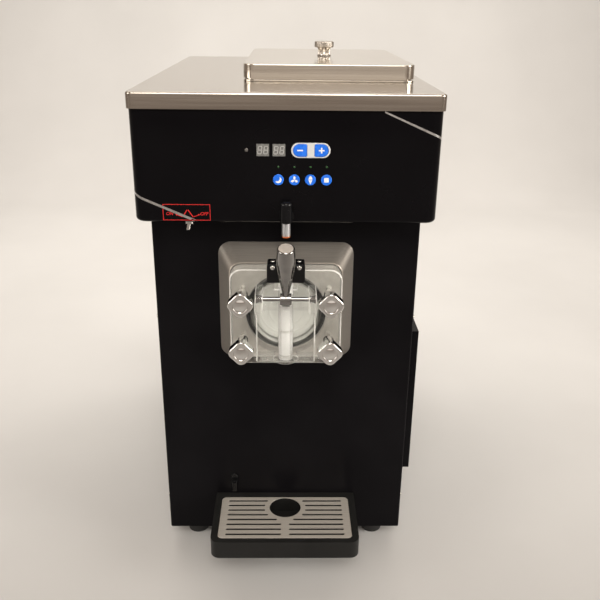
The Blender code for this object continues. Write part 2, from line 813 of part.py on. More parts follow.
def key_shape(name, x, z, kind, low, high, grow=0.0):
    if kind == "mode":
        return rod(name, MODE_KEY_RADIUS + grow, low, high, (x, 0, z), "Y", MEDIUM)
    half_x = STEP_KEY_WIDTH / 2 + grow
    half_z = STEP_KEY_HEIGHT / 2 + grow
    return block(
        name, (x - half_x, x + half_x), (low, high), (z - half_z, z + half_z), STEP_KEY_CORNER + grow, "Y"
    )


def display_shape(name, x, low, high, grow=0.0):
    half_x = DISPLAY_WIDTH / 2 + grow
    half_z = DISPLAY_HEIGHT / 2 + grow
    return block(name, (x - half_x, x + half_x), (low, high), (ROW_UPPER - half_z, ROW_UPPER + half_z))


def fascia(gloss, parent):
    half = FASCIA_WIDTH / 2
    shell = block("fascia", (-half, half), (FASCIA_FRONT, FASCIA_BACK), (FASCIA_BOTTOM, FASCIA_TOP))
    soften(
        shell,
        FASCIA_CORNER,
        5,
        lambda p, q: abs(p.x - q.x) < NEAR and max(p.y, q.y) < FASCIA_FRONT + NEAR,
    )
    soften(shell, FASCIA_EDGE, 3, level(FASCIA_BOTTOM))
    hollow = block(
        "fascia_hollow",
        (-half + FASCIA_WALL, half - FASCIA_WALL),
        (FASCIA_INSIDE, FASCIA_BACK + 2 * FASCIA_CORNER),
        (FASCIA_BOTTOM + FASCIA_WALL, FASCIA_TOP + OVER),
        FASCIA_CORNER - FASCIA_WALL,
    )
    body_room = block(
        "fascia_body_room",
        (-BODY_HALF - CLEAR, BODY_HALF + CLEAR),
        (PANEL_FRONT - CLEAR, FASCIA_BACK + OVER),
        (FASCIA_BOTTOM - OVER, FASCIA_TOP + OVER),
    )
    cut(shell, hollow, body_room)
    low = FASCIA_FRONT - OVER
    high = FASCIA_INSIDE + OVER
    for name, x, z, kind in key_places():
        cut(shell, key_shape(f"fascia_hole_{name}", x, z, kind, low, high, CLEAR))
    for i, x in enumerate(DISPLAY_X):
        cut(shell, display_shape(f"fascia_window_{i}", x, low, high, CLEAR))
    bushing_hole = rod(
        "fascia_bushing_hole",
        BUSHING_RADIUS + CLEAR,
        FASCIA_BOTTOM - OVER,
        FASCIA_BOTTOM + FASCIA_WALL + OVER,
        (TOGGLE_X, toggle_y(), 0),
    )
    cut(shell, bushing_hole)
    place(shell, gloss, parent)


def keys(blue, parent):
    low = FASCIA_FRONT - KEY_PROUD
    high = BOARD_FRONT - KEY_TRAVEL - CLEAR
    for name, x, z, kind in key_places():
        key = key_shape(name, x, z, kind, low, high)
        place(key, blue, parent, (x, FASCIA_FRONT, z))


def key_surround(white, parent):
    half_x = PILL_WIDTH / 2
    half_z = PILL_HEIGHT / 2
    y = (FASCIA_FRONT - CLEAR - PILL_THICK, FASCIA_FRONT - CLEAR)
    pill = block(
        "key_surround",
        (PILL_X - half_x, PILL_X + half_x),
        y,
        (ROW_UPPER - half_z, ROW_UPPER + half_z),
        half_z,
        "Y",
    )
    for name, x, z, kind in key_places():
        if kind == "step":
            cut(pill, key_shape(f"surround_hole_{name}", x, z, kind, y[0] - OVER, y[1] + OVER, CLEAR))
    place(pill, white, parent)


def displays(dark, parent):
    for side, x in zip(("left", "right"), DISPLAY_X):
        module = display_shape(f"display_{side}", x, FASCIA_FRONT, BOARD_FRONT - CLEAR)
        place(module, dark, parent)


def control_board(green, parent):
    low_x = DISPLAY_X[0] - DISPLAY_WIDTH / 2 - BOARD_MARGIN
    high_x = PILL_X + PILL_WIDTH / 2 + BOARD_MARGIN
    low_z = ROW_LOWER - BOARD_MARGIN
    high_z = ROW_UPPER + BOARD_MARGIN
    y = (BOARD_FRONT, BOARD_FRONT + BOARD_THICK)
    board = block("control_board", (low_x, high_x), y, (low_z, high_z))
    inset = 2 * POST_RADIUS
    for i, x in enumerate((low_x + inset, high_x - inset)):
        for j, z in enumerate((low_z + inset, high_z - inset)):
            post = rod(
                f"control_board_post_{i}{j}",
                POST_RADIUS,
                FASCIA_INSIDE + CLEAR,
                BOARD_FRONT + BOARD_THICK / 2,
                (x, 0, z),
                "Y",
                COARSE,
            )
            fuse(board, post)
    place(board, green, parent)


def toggle_y():
    return FASCIA_INSIDE + TOGGLE_SETBACK


def power_toggle(plastic, chrome, parent):
    y = toggle_y()
    floor = FASCIA_BOTTOM + FASCIA_WALL + CLEAR
    half = TOGGLE_BODY / 2
    body = block(
        "power_switch_body",
        (TOGGLE_X - half, TOGGLE_X + half),
        (y - half, y + half),
        (floor, floor + TOGGLE_BODY_HEIGHT),
    )
    axis = (TOGGLE_X, y, 0)
    mouth = FASCIA_BOTTOM - BUSHING_DROP
    pivot = mouth + TOGGLE_BALL
    bushing = rod("power_switch_bushing", BUSHING_RADIUS, mouth, floor + WELD, axis)
    socket = rod(
        "power_switch_socket", TOGGLE_BALL + CLEAR, mouth - OVER, pivot + TOGGLE_BALL + CLEAR, axis
    )
    place(cut(fuse(body, bushing), socket), plastic, parent)
    ball = [
        (TOGGLE_BALL * math.cos(angle), TOGGLE_BALL * math.sin(angle))
        for angle in (math.radians(50 - 25 * i) for i in range(5))
    ]
    profile = [(0, TOGGLE_BALL), *ball]
    profile += [
        (TOGGLE_NECK, -TOGGLE_BALL),
        (TOGGLE_TIP, 2 * TOGGLE_TIP - TOGGLE_LENGTH),
        (TOGGLE_TIP, TOGGLE_TIP / 2 - TOGGLE_LENGTH),
        (TOGGLE_TIP / 2, -TOGGLE_LENGTH),
        (0, -TOGGLE_LENGTH),
    ]
    lever = turned("power_switch_lever", profile, (0, 0, 0), steps=COARSE)
    place(lever, chrome, parent)
    lever.location = (TOGGLE_X, y, pivot)
    lever.rotation_euler = (0, TOGGLE_LEAN, 0)


# Hopper and lid


def tank_spans(grow=0.0):
    """Outer spans of the hopper's tank, grown all round."""
    half_x = LID_WIDTH / 2 - TANK_INSET + grow
    middle_y = LID_FRONT + LID_DEPTH / 2
    half_y = LID_DEPTH / 2 - TANK_INSET + grow
    return (LID_X - half_x, LID_X + half_x), (middle_y - half_y, middle_y + half_y)


def lid_spans():
    half = LID_WIDTH / 2
    return (LID_X - half, LID_X + half), (LID_FRONT, LID_FRONT + LID_DEPTH)


def hopper(steel, parent):
    x, y = lid_spans()
    tank_x, tank_y = tank_spans()
    rim = block("hopper", x, y, (RIM_BOTTOM, RIM_TOP), LID_CORNER)
    tank = block("hopper_tank", tank_x, tank_y, (TANK_BOTTOM, RIM_TOP - RIM_THICK / 2), TANK_CORNER)
    axis = (0, OUTLET_Y, 0)
    low = inlet_floor()
    outlet = rod("hopper_outlet", OUTLET_RADIUS, low + CLEAR, TANK_BOTTOM + SHEET / 2, axis)
    inner_x, inner_y = tank_spans(-SHEET)
    inside = block(
        "hopper_inside", inner_x, inner_y, (TANK_BOTTOM + SHEET, RIM_TOP + OVER), TANK_CORNER - SHEET
    )
    bore = rod(
        "hopper_bore", OUTLET_RADIUS - OUTLET_WALL, low - OVER, TANK_BOTTOM + SHEET + OVER, axis
    )
    place(cut(fuse(rim, tank, outlet), inside, bore), steel, parent)


def inlet_floor():
    """Where the hopper outlet stands on the top of the freezing cylinder's wall."""
    return AXIS_Z + CYL_OUTER


def hopper_lid(steel, parent):
    x, y = lid_spans()
    lid = block("hopper_lid", x, y, (LID_BOTTOM, LID_TOP), LID_CORNER)
    soften(lid, LID_EDGE, 2, level(LID_TOP))
    hollow = block(
        "hopper_lid_hollow",
        (x[0] + SHEET, x[1] - SHEET),
        (y[0] + SHEET, y[1] - SHEET),
        (LID_BOTTOM - OVER, LID_TOP - SHEET),
        LID_CORNER - SHEET,
    )
    place(cut(lid, hollow), steel, parent)


def lid_knob(chrome, parent):
    base = LID_TOP + CLEAR
    top = base + KNOB_HEIGHT
    cap = top - KNOB_CAP
    profile = (
        (0, base),
        (KNOB_FOOT, base),
        (KNOB_WAIST, (base + cap) / 2),
        (KNOB_STEM, cap - KNOB_EDGE),
        (KNOB_RADIUS - KNOB_EDGE, cap),
        (KNOB_RADIUS, cap + KNOB_EDGE),
        (KNOB_RADIUS, top - KNOB_EDGE),
        (KNOB_RADIUS - KNOB_EDGE, top),
        (0, top),
    )
    knob = turned("lid_knob", profile, (LID_X, LID_FRONT + LID_DEPTH / 2, 0))
    place(knob, chrome, parent)


# Freezing cylinder and what closes it


def face_bezel(steel, parent):
    """A folded frame that slopes from the front panel to the door."""
    half_x = DOOR_WIDTH / 2 + BEZEL_GAP
    half_z = DOOR_HEIGHT / 2 + BEZEL_GAP
    rings = (
        (half_x + BEZEL_FLARE, half_z + BEZEL_FLARE, BEZEL_CORNER, PANEL_FRONT - CLEAR),
        (half_x + BEZEL_FLARE + SHEET, half_z + BEZEL_FLARE + SHEET, BEZEL_CORNER, PANEL_FRONT - CLEAR),
        (half_x + SHEET, half_z + SHEET, DOOR_CORNER + SHEET, FACE),
        (half_x, half_z, DOOR_CORNER, FACE),
    )
    shape = bmesh.new()
    loops = []
    for wide, tall, corner, y in rings:
        outline = rounded((-wide, wide), (AXIS_Z - tall, AXIS_Z + tall), corner)
        loops.append([shape.verts.new((a, y, b)) for a, b in outline])
    for i, loop in enumerate(loops):
        following = loops[(i + 1) % len(loops)]
        for j in range(len(loop)):
            k = (j + 1) % len(loop)
            shape.faces.new((loop[j], loop[k], following[k], following[j]))
    place(to_object("face_bezel", shape), steel, parent)


def stud_places():
    return [
        (f"{row}_{side}", across * STUD_X, AXIS_Z + up * STUD_Z)
        for row, up in (("upper", 1), ("lower", -1))
        for side, across in (("left", -1), ("right", 1))
    ]


def freezing_cylinder(steel, parent):
    half_x = DOOR_WIDTH / 2 - FLANGE_INSET
    half_z = DOOR_HEIGHT / 2 - FLANGE_INSET
    middle = (0, 0, AXIS_Z)
    body = block(
        "freezing_cylinder",
        (-half_x, half_x),
        (FLANGE_FRONT, FLANGE_FRONT + CYL_PLATE),
        (AXIS_Z - half_z, AXIS_Z + half_z),
        DOOR_CORNER - FLANGE_INSET,
        "Y",
    )
    barrel = rod("cylinder_barrel", CYL_OUTER, FLANGE_FRONT + CYL_PLATE / 2, CYL_BACK, middle, "Y", FINE)
    inlet = rod(
        "cylinder_inlet",
        OUTLET_RADIUS + CLEAR + INLET_WALL,
        AXIS_Z + CYL_RADIUS,
        inlet_floor() + INLET_HEIGHT,
        (0, OUTLET_Y, 0),
    )
    fuse(body, barrel, inlet)
    for place_name, x, z in stud_places():
        stud = rod(
            f"cylinder_stud_{place_name}",
            STUD_RADIUS,
            DOOR_FRONT - SCREW_LENGTH + SCREW_CAP,
            FLANGE_FRONT + CYL_PLATE / 2,
            (x, 0, z),
            "Y",
            COARSE,
        )
        fuse(body, stud)
    bore = rod("cylinder_bore", CYL_RADIUS, FLANGE_FRONT - OVER, CYL_BACK - CYL_PLATE, middle, "Y", FINE)
    back_wall = (CYL_BACK - 2 * CYL_PLATE, CYL_BACK + OVER)
    shaft_hole = rod("cylinder_shaft_hole", DRIVE_RADIUS + CLEAR, *back_wall, middle, "Y", COARSE)
    inlet_seat = rod(
        "cylinder_inlet_seat",
        OUTLET_RADIUS + CLEAR,
        inlet_floor(),
        inlet_floor() + INLET_HEIGHT + OVER,
        (0, OUTLET_Y, 0),
    )
    inlet_bore = rod(
        "cylinder_inlet_bore",
        OUTLET_RADIUS - OUTLET_WALL,
        AXIS_Z + CYL_RADIUS / 2,
        inlet_floor() + OVER,
        (0, OUTLET_Y, 0),
    )
    place(cut(body, bore, shaft_hole, inlet_seat, inlet_bore), steel, parent)


def cylinder_bulkhead(paint, parent):
    half = INSIDE_HALF - CLEAR
    front = COVER_FRONT + BULKHEAD_SETBACK
    z = (AXIS_Z - BULKHEAD_BELOW, AXIS_Z + BULKHEAD_ABOVE)
    wall = block("cylinder_bulkhead", (-half, half), (front, front + SHEET), z)
    through = (front - OVER, front + SHEET + OVER)
    hole = rod("cylinder_bulkhead_hole", CYL_OUTER + CLEAR, *through, (0, 0, AXIS_Z), "Y", FINE)
    place(cut(wall, hole), paint, parent)


def beater(plastic, parent):
    """A helical scraper on a shaft that ends in the gearbox."""
    front = FLANGE_FRONT + CYL_PLATE / 2
    back = CYL_BACK - CYL_PLATE - BEATER_END_GAP
    outer = CYL_RADIUS - BEATER_GAP
    core = BEATER_SHAFT - BEATER_ROOT
    count = BEATER_TURNS * BEATER_STEPS
    shape = bmesh.new()
    rows = []
    for i in range(count + 1):
        share = i / count
        angle = 2 * math.pi * BEATER_TURNS * share
        y = front + BEATER_BLADE + (back - front - 2 * BEATER_BLADE) * share
        row = []
        for radius, shift in ((core, -1), (outer, -1), (outer, 1), (core, 1)):
            at = (radius * math.cos(angle), y + shift * BEATER_BLADE / 2, AXIS_Z + radius * math.sin(angle))
            row.append(shape.verts.new(at))
        rows.append(row)
    for first, second in zip(rows, rows[1:]):
        for j in range(4):
            k = (j + 1) % 4
            shape.faces.new((first[j], first[k], second[k], second[j]))
    shape.faces.new(rows[0])
    shape.faces.new(rows[-1])
    blade = to_object("beater", shape)
    profile = (
        (0, front),
        (BEATER_SHAFT, front),
        (BEATER_SHAFT, back),
        (DRIVE_RADIUS, back),
        (DRIVE_RADIUS, GEARBOX_FRONT + DRIVE_REACH - CLEAR),
        (0, GEARBOX_FRONT + DRIVE_REACH - CLEAR),
    )
    shaft = turned("beater_shaft", profile, (0, 0, AXIS_Z), "Y", COARSE)
    place(fuse(blade, shaft), plastic, parent, (0, front, AXIS_Z))


def door_gasket(rubber, parent):
    groove = CYL_RADIUS + GASKET_WIDTH / 2
    inner = groove - GASKET_WIDTH / 2
    outer = groove + GASKET_WIDTH / 2
    gasket = ring("door_gasket", inner, outer, FACE - GASKET_THICK, FACE, (0, 0, AXIS_Z), "Y")
    place(gasket, rubber, parent)


def dispensing_door(acrylic, parent):
    half_x = DOOR_WIDTH / 2
    half_z = DOOR_HEIGHT / 2
    into = DOOR_FRONT + OVER
    door = block(
        "dispensing_door",
        (-half_x, half_x),
        (DOOR_FRONT, FACE),
        (AXIS_Z - half_z, AXIS_Z + half_z),
        DOOR_CORNER,
        "Y",
    )
    centre = block(
        "door_block",
        (-BLOCK_HALF, BLOCK_HALF),
        (BLOCK_FRONT, into),
        (BLOCK_BOTTOM, BLOCK_TOP),
        BLOCK_CORNER,
    )
    tower_front = VALVE_Y - BORE_RADIUS - 2 * PLUNGER_WALL
    tower = block(
        "door_tower", (-TOWER_HALF, TOWER_HALF), (tower_front, into + OVER), (BLOCK_TOP - OVER, TOWER_TOP)
    )
    nozzle = rod("door_nozzle", NOZZLE_RADIUS, NOZZLE_BOTTOM, BLOCK_BOTTOM + OVER, (0, VALVE_Y, 0))
    fuse(door, centre, tower, nozzle)
    for side, sign in (("left", -1), ("right", 1)):
        span = sorted((sign * (BLOCK_HALF - EAR_THICK), sign * (BLOCK_HALF + EAR_PROUD)))
        ear = block(
            f"door_ear_{side}",
            span,
            (PIN_Y - EAR_RADIUS, into + 2 * OVER),
            (PIN_Z - EAR_DROP, PIN_Z + EAR_RADIUS),
            EAR_RADIUS,
            "X",
        )
        fuse(door, ear)
    middle = (0, 0, AXIS_Z)
    chamber = rod("door_chamber", CHAMBER_RADIUS, FACE - CHAMBER_DEPTH, FACE + OVER, middle, "Y", FINE)
    groove = CYL_RADIUS + GASKET_WIDTH / 2
    channel = ring(
        "door_groove",
        groove - GASKET_WIDTH / 2 - CLEAR,
        groove + GASKET_WIDTH / 2 + CLEAR,
        FACE - GASKET_THICK - CLEAR,
        FACE + OVER,
        middle,
        "Y",
    )
    bore = rod("door_bore", BORE_RADIUS, NOZZLE_BOTTOM - OVER, TOWER_TOP + OVER, (0, VALVE_Y, 0))
    port_at = (0, 0, PORT_Z)
    port = rod("door_port", PORT_RADIUS, VALVE_Y, FACE - CHAMBER_DEPTH / 2, port_at, "Y", MEDIUM)
    arm_slot = block(
        "door_arm_slot",
        (-EYE_HALF - 2 * CLEAR, EYE_HALF + 2 * CLEAR),
        (tower_front - OVER, VALVE_Y),
        (BLOCK_TOP + CLEAR, TOWER_TOP + OVER),
    )
    cut(door, chamber, channel, bore, arm_slot, port, solver="MANIFOLD")
    for name, x, z in stud_places():
        through = (DOOR_FRONT - OVER, FACE + OVER)
        hole = rod(f"door_stud_hole_{name}", STUD_RADIUS + CLEAR, *through, (x, 0, z), "Y", COARSE)
        cut(door, hole, solver="MANIFOLD")
    for side, sign in (("left", -1), ("right", 1)):
        span = sorted((sign * (BLOCK_HALF - EAR_THICK - OVER), sign * (BLOCK_HALF + OVER)))
        axis = (0, PIN_Y, PIN_Z)
        hole = rod(f"door_pin_hole_{side}", PIN_CAP_RADIUS + CLEAR, *span, axis, "X", COARSE)
        cut(door, hole, solver="MANIFOLD")
    place(door, acrylic, parent)


def hand_screws(chrome, parent):
    front = DOOR_FRONT - SCREW_LENGTH
    neck_back = DOOR_FRONT - CLEAR
    for name, x, z in stud_places():
        outline = []
        for i in range(ROUND):
            angle = 2 * math.pi * i / ROUND
            radius = SCREW_RADIUS + SCREW_LOBE * math.cos(SCREW_LOBES * angle)
            outline.append((x + radius * math.cos(angle), z + radius * math.sin(angle)))
        screw = prism(f"hand_screw_{name}", outline, "Y", front, front + SCREW_HEAD)
        soften(screw, SCREW_EDGE, 1, lambda p, q: abs(p.y - q.y) < NEAR)
        axis = (x, 0, z)
        middle = front + SCREW_HEAD / 2
        neck = rod(f"screw_neck_{name}", SCREW_NECK, middle, neck_back, axis, "Y", COARSE)
        thread = rod(
            f"screw_thread_{name}",
            STUD_RADIUS + CLEAR,
            front + SCREW_CAP - CLEAR,
            neck_back + OVER,
            axis,
            "Y",
            COARSE,
        )
        place(cut(fuse(screw, neck), thread), chrome, parent, (x, neck_back, z))


# Draw valve


def plunger(white, rubber, parent):
    top = HEAD_BOTTOM - CLEAR
    groove = PLUNGER_RADIUS - SEAL_DEPTH
    half = SEAL_THICK / 2 + CLEAR
    profile = [(0, PLUNGER_BOTTOM), (PLUNGER_RADIUS, PLUNGER_BOTTOM)]
    for z in SEAL_Z:
        profile += [
            (PLUNGER_RADIUS, z - half),
            (groove, z - half),
            (groove, z + half),
            (PLUNGER_RADIUS, z + half),
        ]
    profile += [
        (PLUNGER_RADIUS, top),
        (SPIGOT_RADIUS, top),
        (SPIGOT_RADIUS, top + SPIGOT_HEIGHT),
        (0, top + SPIGOT_HEIGHT),
    ]
    stem = turned("plunger", profile, (0, VALVE_Y, 0))
    room = ARM_RADIUS + ARM_PLAY
    pocket = block(
        "plunger_pocket",
        (-ARM_HALF - CLEAR, ARM_HALF + CLEAR),
        (VALVE_Y - PLUNGER_RADIUS - OVER, VALVE_Y + room),
        (ARM_TIP_Z - room, ARM_TIP_Z + room),
    )
    sweep = PLUNGER_RADIUS * math.tan(ARM_DROP) + ARM_NECK / math.cos(ARM_DROP) + ARM_PLAY
    mouth = block(
        "plunger_mouth",
        (-ARM_HALF - CLEAR, ARM_HALF + CLEAR),
        (VALVE_Y - PLUNGER_RADIUS - OVER, VALVE_Y - PLUNGER_RADIUS / 2),
        (ARM_TIP_Z - sweep, ARM_TIP_Z + sweep),
    )
    place(cut(stem, pocket, mouth), white, parent, (0, VALVE_Y, PLUNGER_BOTTOM))
    for name, z in zip(("lower", "upper"), SEAL_Z):
        seal = ring(
            f"plunger_seal_{name}",
            groove + CLEAR,
            PLUNGER_RADIUS + SEAL_PROUD,
            -SEAL_THICK / 2,
            SEAL_THICK / 2,
            (0, VALVE_Y, z),
        )
        place(seal, rubber, parent)


def plunger_head(plastic, parent):
    front = DOOR_FRONT - HEAD_GAP - HEAD_DEPTH
    head = block(
        "plunger_head",
        (-HEAD_HALF, HEAD_HALF),
        (front, front + HEAD_DEPTH),
        (HEAD_BOTTOM, HEAD_BOTTOM + HEAD_HEIGHT),
        HEAD_EDGE,
        "Y",
    )
    socket = rod(
        "plunger_head_socket",
        SPIGOT_RADIUS + CLEAR,
        HEAD_BOTTOM - OVER,
        HEAD_BOTTOM + SPIGOT_HEIGHT + CLEAR,
        (0, VALVE_Y, 0),
    )
    place(cut(head, socket), plastic, parent)


def draw_handle(chrome, parent):
    handle = turned("draw_handle", HANDLE_PROFILE, (0, 0, 0))
    axis = (0, PIN_Y, PIN_Z)
    handle.location = axis
    handle.rotation_euler = (HANDLE_TILT, 0, 0)
    eye = rod("handle_eye", EYE_RADIUS, -EYE_HALF, EYE_HALF, axis, "X", MEDIUM)
    turn = Matrix.Rotation(-ARM_DROP, 2)
    corners = ((0, -ARM_NECK), (ARM_LENGTH, -ARM_NECK), (ARM_LENGTH, ARM_NECK), (0, ARM_NECK))
    points = [turn @ Vector(corner) for corner in corners]
    arm = prism("handle_arm", [(PIN_Y + p.x, PIN_Z + p.y) for p in points], "X", -ARM_HALF, ARM_HALF)
    end = turn @ Vector((ARM_LENGTH, 0))
    tip_axis = (0, PIN_Y + end.x, PIN_Z + end.y)
    tip_half = ARM_HALF - CLEAR
    tip = rod("handle_arm_tip", ARM_RADIUS, -tip_half, tip_half, tip_axis, "X", MEDIUM)
    bore = rod("handle_bore", PIN_RADIUS + CLEAR, -2 * EYE_HALF, 2 * EYE_HALF, axis, "X", COARSE)
    fuse(handle, eye, arm, tip, solver="MANIFOLD")
    place(cut(handle, bore, solver="MANIFOLD"), chrome, parent)


def handle_pin(chrome, parent):
    inner = BLOCK_HALF - EAR_THICK + CLEAR
    outer = BLOCK_HALF + PIN_CAP_PROUD
    reach = inner + PIN_SEAT
    axis = (0, PIN_Y, PIN_Z)
    place(rod("handle_pin", PIN_RADIUS, -reach, reach, axis, "X", COARSE), chrome, parent)
    for side, sign in (("left", -1), ("right", 1)):
        span = sorted((sign * inner, sign * outer))
        seat = sorted((sign * (inner - OVER), sign * (reach + CLEAR)))
        cap = rod(f"pin_cap_{side}", PIN_CAP_RADIUS, *span, axis, "X", COARSE)
        hole = rod(f"pin_cap_hole_{side}", PIN_RADIUS + CLEAR, *seat, axis, "X", COARSE)
        place(cut(cap, hole), chrome, parent)


def draw_sensor(plastic, steel, parent):
    y = FASCIA_FRONT - CLEAR - HOLDER_RADIUS
    axis = (0, y, 0)
    round_top = HOLDER_RADIUS / 2
    profile = (
        (0, HOLDER_BOTTOM),
        (HOLDER_RADIUS, HOLDER_BOTTOM),
        (HOLDER_RADIUS, HOLDER_TOP - round_top),
        (HOLDER_RADIUS - MID_ROUND * round_top, HOLDER_TOP - MID_ROUND * round_top),
        (HOLDER_RADIUS - round_top, HOLDER_TOP),
        (0, HOLDER_TOP),
    )
    holder = turned("sensor_holder", profile, axis, steps=MEDIUM)
    pad = block(
        "sensor_holder_pad",
        (-HOLDER_PAD, HOLDER_PAD),
        (y, FASCIA_FRONT - CLEAR),
        (HOLDER_BOTTOM + HOLDER_PAD_RISE, HOLDER_TOP - round_top),
    )
    top = HOLDER_BOTTOM + SENSOR_SEAT
    seat = rod(
        "sensor_seat", SENSOR_RADIUS + CLEAR, HOLDER_BOTTOM - OVER, top + CLEAR, axis, steps=MEDIUM
    )
    place(cut(fuse(holder, pad), seat), plastic, parent)
    barrel = rod("sensor_barrel", SENSOR_RADIUS, SENSOR_TIP, top, axis, steps=MEDIUM)
    place(barrel, steel, parent)


# Drip tray


def drip_tray(plastic, parent):
    half = TRAY_WIDTH / 2
    tray = block("drip_tray", (-half, half), (TRAY_FRONT, TRAY_BACK), (TRAY_BOTTOM, TRAY_TOP))
    soften(
        tray,
        TRAY_CORNER,
        5,
        lambda p, q: abs(p.x - q.x) < NEAR and max(p.y, q.y) < TRAY_FRONT + NEAR,
    )
    ledge = half - TRAY_RIM
    seat = block(
        "tray_seat",
        (-ledge, ledge),
        (TRAY_FRONT + TRAY_RIM, TRAY_BACK - TRAY_RIM + GRILLE_SLACK),
        (SEAT_TOP, TRAY_TOP + OVER),
        GRILLE_CORNER,
    )
    inner = ledge - GRILLE_LEDGE
    bowl = block(
        "tray_bowl",
        (-inner, inner),
        (TRAY_FRONT + TRAY_RIM + GRILLE_LEDGE, TRAY_BACK - TRAY_RIM - GRILLE_LEDGE),
        (TRAY_BOTTOM + TRAY_WALL, TRAY_TOP + OVER),
        GRILLE_CORNER,
    )
    cut(tray, seat, bowl)
    low, high = hook_stem()
    behind = PANEL_BACK + CLEAR
    for side, x in (("left", -HOOK_X), ("right", HOOK_X)):
        span = (x - HOOK_WIDTH / 2, x + HOOK_WIDTH / 2)
        stem = block(f"tray_hook_stem_{side}", span, (TRAY_BACK - OVER, behind + 2 * SHEET), (low, high))
        lip = block(f"tray_hook_lip_{side}", span, (behind, behind + 2 * SHEET), (low - HOOK_LIP, high))
        fuse(tray, stem, lip)
    place(tray, plastic, parent)


def slot_rows():
    """Each slot's spans across and along the grille, from the back row to the front."""
    hole_y = GRILLE_BACK - GRILLE_HOLE_BACK
    end = TRAY_WIDTH / 2 - TRAY_RIM - GRILLE_SLACK - SLOT_END_MARGIN
    for row in range(SLOT_ROWS):
        y = GRILLE_BACK - SLOT_FIRST - row * SLOT_PITCH
        reach = GRILLE_HOLE + GRILLE_LAND
        off = abs(y - hole_y)
        start = SLOT_MIDDLE
        if off < reach:
            start = max(start, math.sqrt(reach * reach - off * off))
        for low, high in ((-end, -start), (start, end)):
            yield (low, high), (y - SLOT_WIDTH / 2, y + SLOT_WIDTH / 2)


def drip_grille(steel, parent):
    half = TRAY_WIDTH / 2 - TRAY_RIM - GRILLE_SLACK
    bottom = SEAT_TOP + CLEAR
    top = bottom + GRILLE_THICK
    front = TRAY_FRONT + TRAY_RIM + GRILLE_SLACK
    corner = GRILLE_CORNER - GRILLE_SLACK
    grille = block("drip_grille", (-half, half), (front, GRILLE_BACK), (bottom, top), corner)
    through = (bottom - OVER, top + OVER)
    slots = many("grille_slots", [(x, y, through) for x, y in slot_rows()])
    hole = rod("grille_hole", GRILLE_HOLE, *through, (0, GRILLE_BACK - GRILLE_HOLE_BACK, 0), steps=FINE)
    place(cut(grille, slots, hole), steel, parent, (0, GRILLE_BACK, bottom))


def leak_spout(plastic, parent):
    """A bent tube that shows a worn shaft seal by dripping in front of the panel."""
    path = bpy.data.curves.new("leak_spout", "CURVE")
    path.dimensions = "3D"
    path.bevel_depth = SPOUT_RADIUS
    path.bevel_resolution = 4
    path.use_fill_caps = True
    y = PANEL_FRONT - SPOUT_REACH
    points = [Vector((SPOUT_X, PANEL_BACK + SPOUT_INSIDE, SPOUT_TOP))]
    for step in range(5):
        angle = math.radians(90 * step / 4)
        points.append(
            Vector(
                (
                    SPOUT_X,
                    y + SPOUT_BEND * (1 - math.sin(angle)),
                    SPOUT_TOP - SPOUT_BEND * (1 - math.cos(angle)),
                )
            )
        )
    points.append(Vector((SPOUT_X, y, SPOUT_BOTTOM)))
    line = path.splines.new("POLY")
    line.points.add(len(points) - 1)
    for point, at in zip(line.points, points):
        point.co = (*at, 1.0)
    spout = bpy.data.objects.new("leak_spout", path)
    bpy.context.scene.collection.objects.link(spout)
    place(spout, plastic, parent)


# Drive


def gearbox(cast, parent):
    box = block(
        "gearbox",
        (-GEARBOX_HALF_WIDTH, GEARBOX_HALF_WIDTH),
        (GEARBOX_FRONT, GEARBOX_BACK),
        (AXIS_Z - GEARBOX_HALF_HEIGHT, AXIS_Z + GEARBOX_HALF_HEIGHT),
        GEARBOX_CORNER,
        "Y",
    )
    axis = (0, 0, AXIS_Z)
    front_seat = (GEARBOX_FRONT - OVER, GEARBOX_FRONT + DRIVE_REACH)
    output = rod("gearbox_output", DRIVE_RADIUS + CLEAR, *front_seat, axis, "Y", COARSE)
    back_seat = (GEARBOX_BACK - SHAFT_SEAT, GEARBOX_BACK + OVER)
    inward = rod("gearbox_input", PULLEY_SHAFT + CLEAR, *back_seat, axis, "Y", COARSE)
    place(cut(box, output, inward), cast, parent)


def pulley(name, radius, x, z, steel, parent):
    """A flat pulley on its own shaft, which turns in the housing in front of it."""
    profile = (
        (0, GEARBOX_BACK - SHAFT_SEAT + CLEAR),
        (PULLEY_SHAFT, GEARBOX_BACK - SHAFT_SEAT + CLEAR),
        (PULLEY_SHAFT, PULLEY_FRONT),
        (radius, PULLEY_FRONT),
        (radius, PULLEY_FRONT + PULLEY_WIDTH),
        (0, PULLEY_FRONT + PULLEY_WIDTH),
    )
    wheel = turned(name, profile, (x, 0, z), "Y", FINE)
    place(wheel, steel, parent, (x, PULLEY_FRONT, z))


def belt_outline(big, small, steps=ROUND):
    """The line round two circles of unlike radius, taken at their outer tangents."""
    start = Vector((0, AXIS_Z))
    end = Vector((MOTOR_X, MOTOR_Z))
    across = end - start
    heading = math.atan2(across.y, across.x)
    lean = math.acos((big - small) / across.length)
    points = []
    for centre, radius, first, sweep in (
        (start, big, heading + lean, 2 * math.pi - 2 * lean),
        (end, small, heading - lean, 2 * lean),
    ):
        for step in range(steps + 1):
            angle = first + sweep * step / steps
            points.append((centre.x + radius * math.cos(angle), centre.y + radius * math.sin(angle)))
    return points


def drive_belt(rubber, parent):
    low = PULLEY_FRONT + BELT_MARGIN
    high = PULLEY_FRONT + PULLEY_WIDTH - BELT_MARGIN
    grown = BELT_PLAY + BELT_THICK
    outer = belt_outline(BIG_PULLEY + grown, SMALL_PULLEY + grown)
    inner = belt_outline(BIG_PULLEY + BELT_PLAY, SMALL_PULLEY + BELT_PLAY)
    belt = prism("drive_belt", outer, "Y", low, high)
    inside = prism("drive_belt_inside", inner, "Y", low - OVER, high + OVER)
    place(cut(belt, inside), rubber, parent)


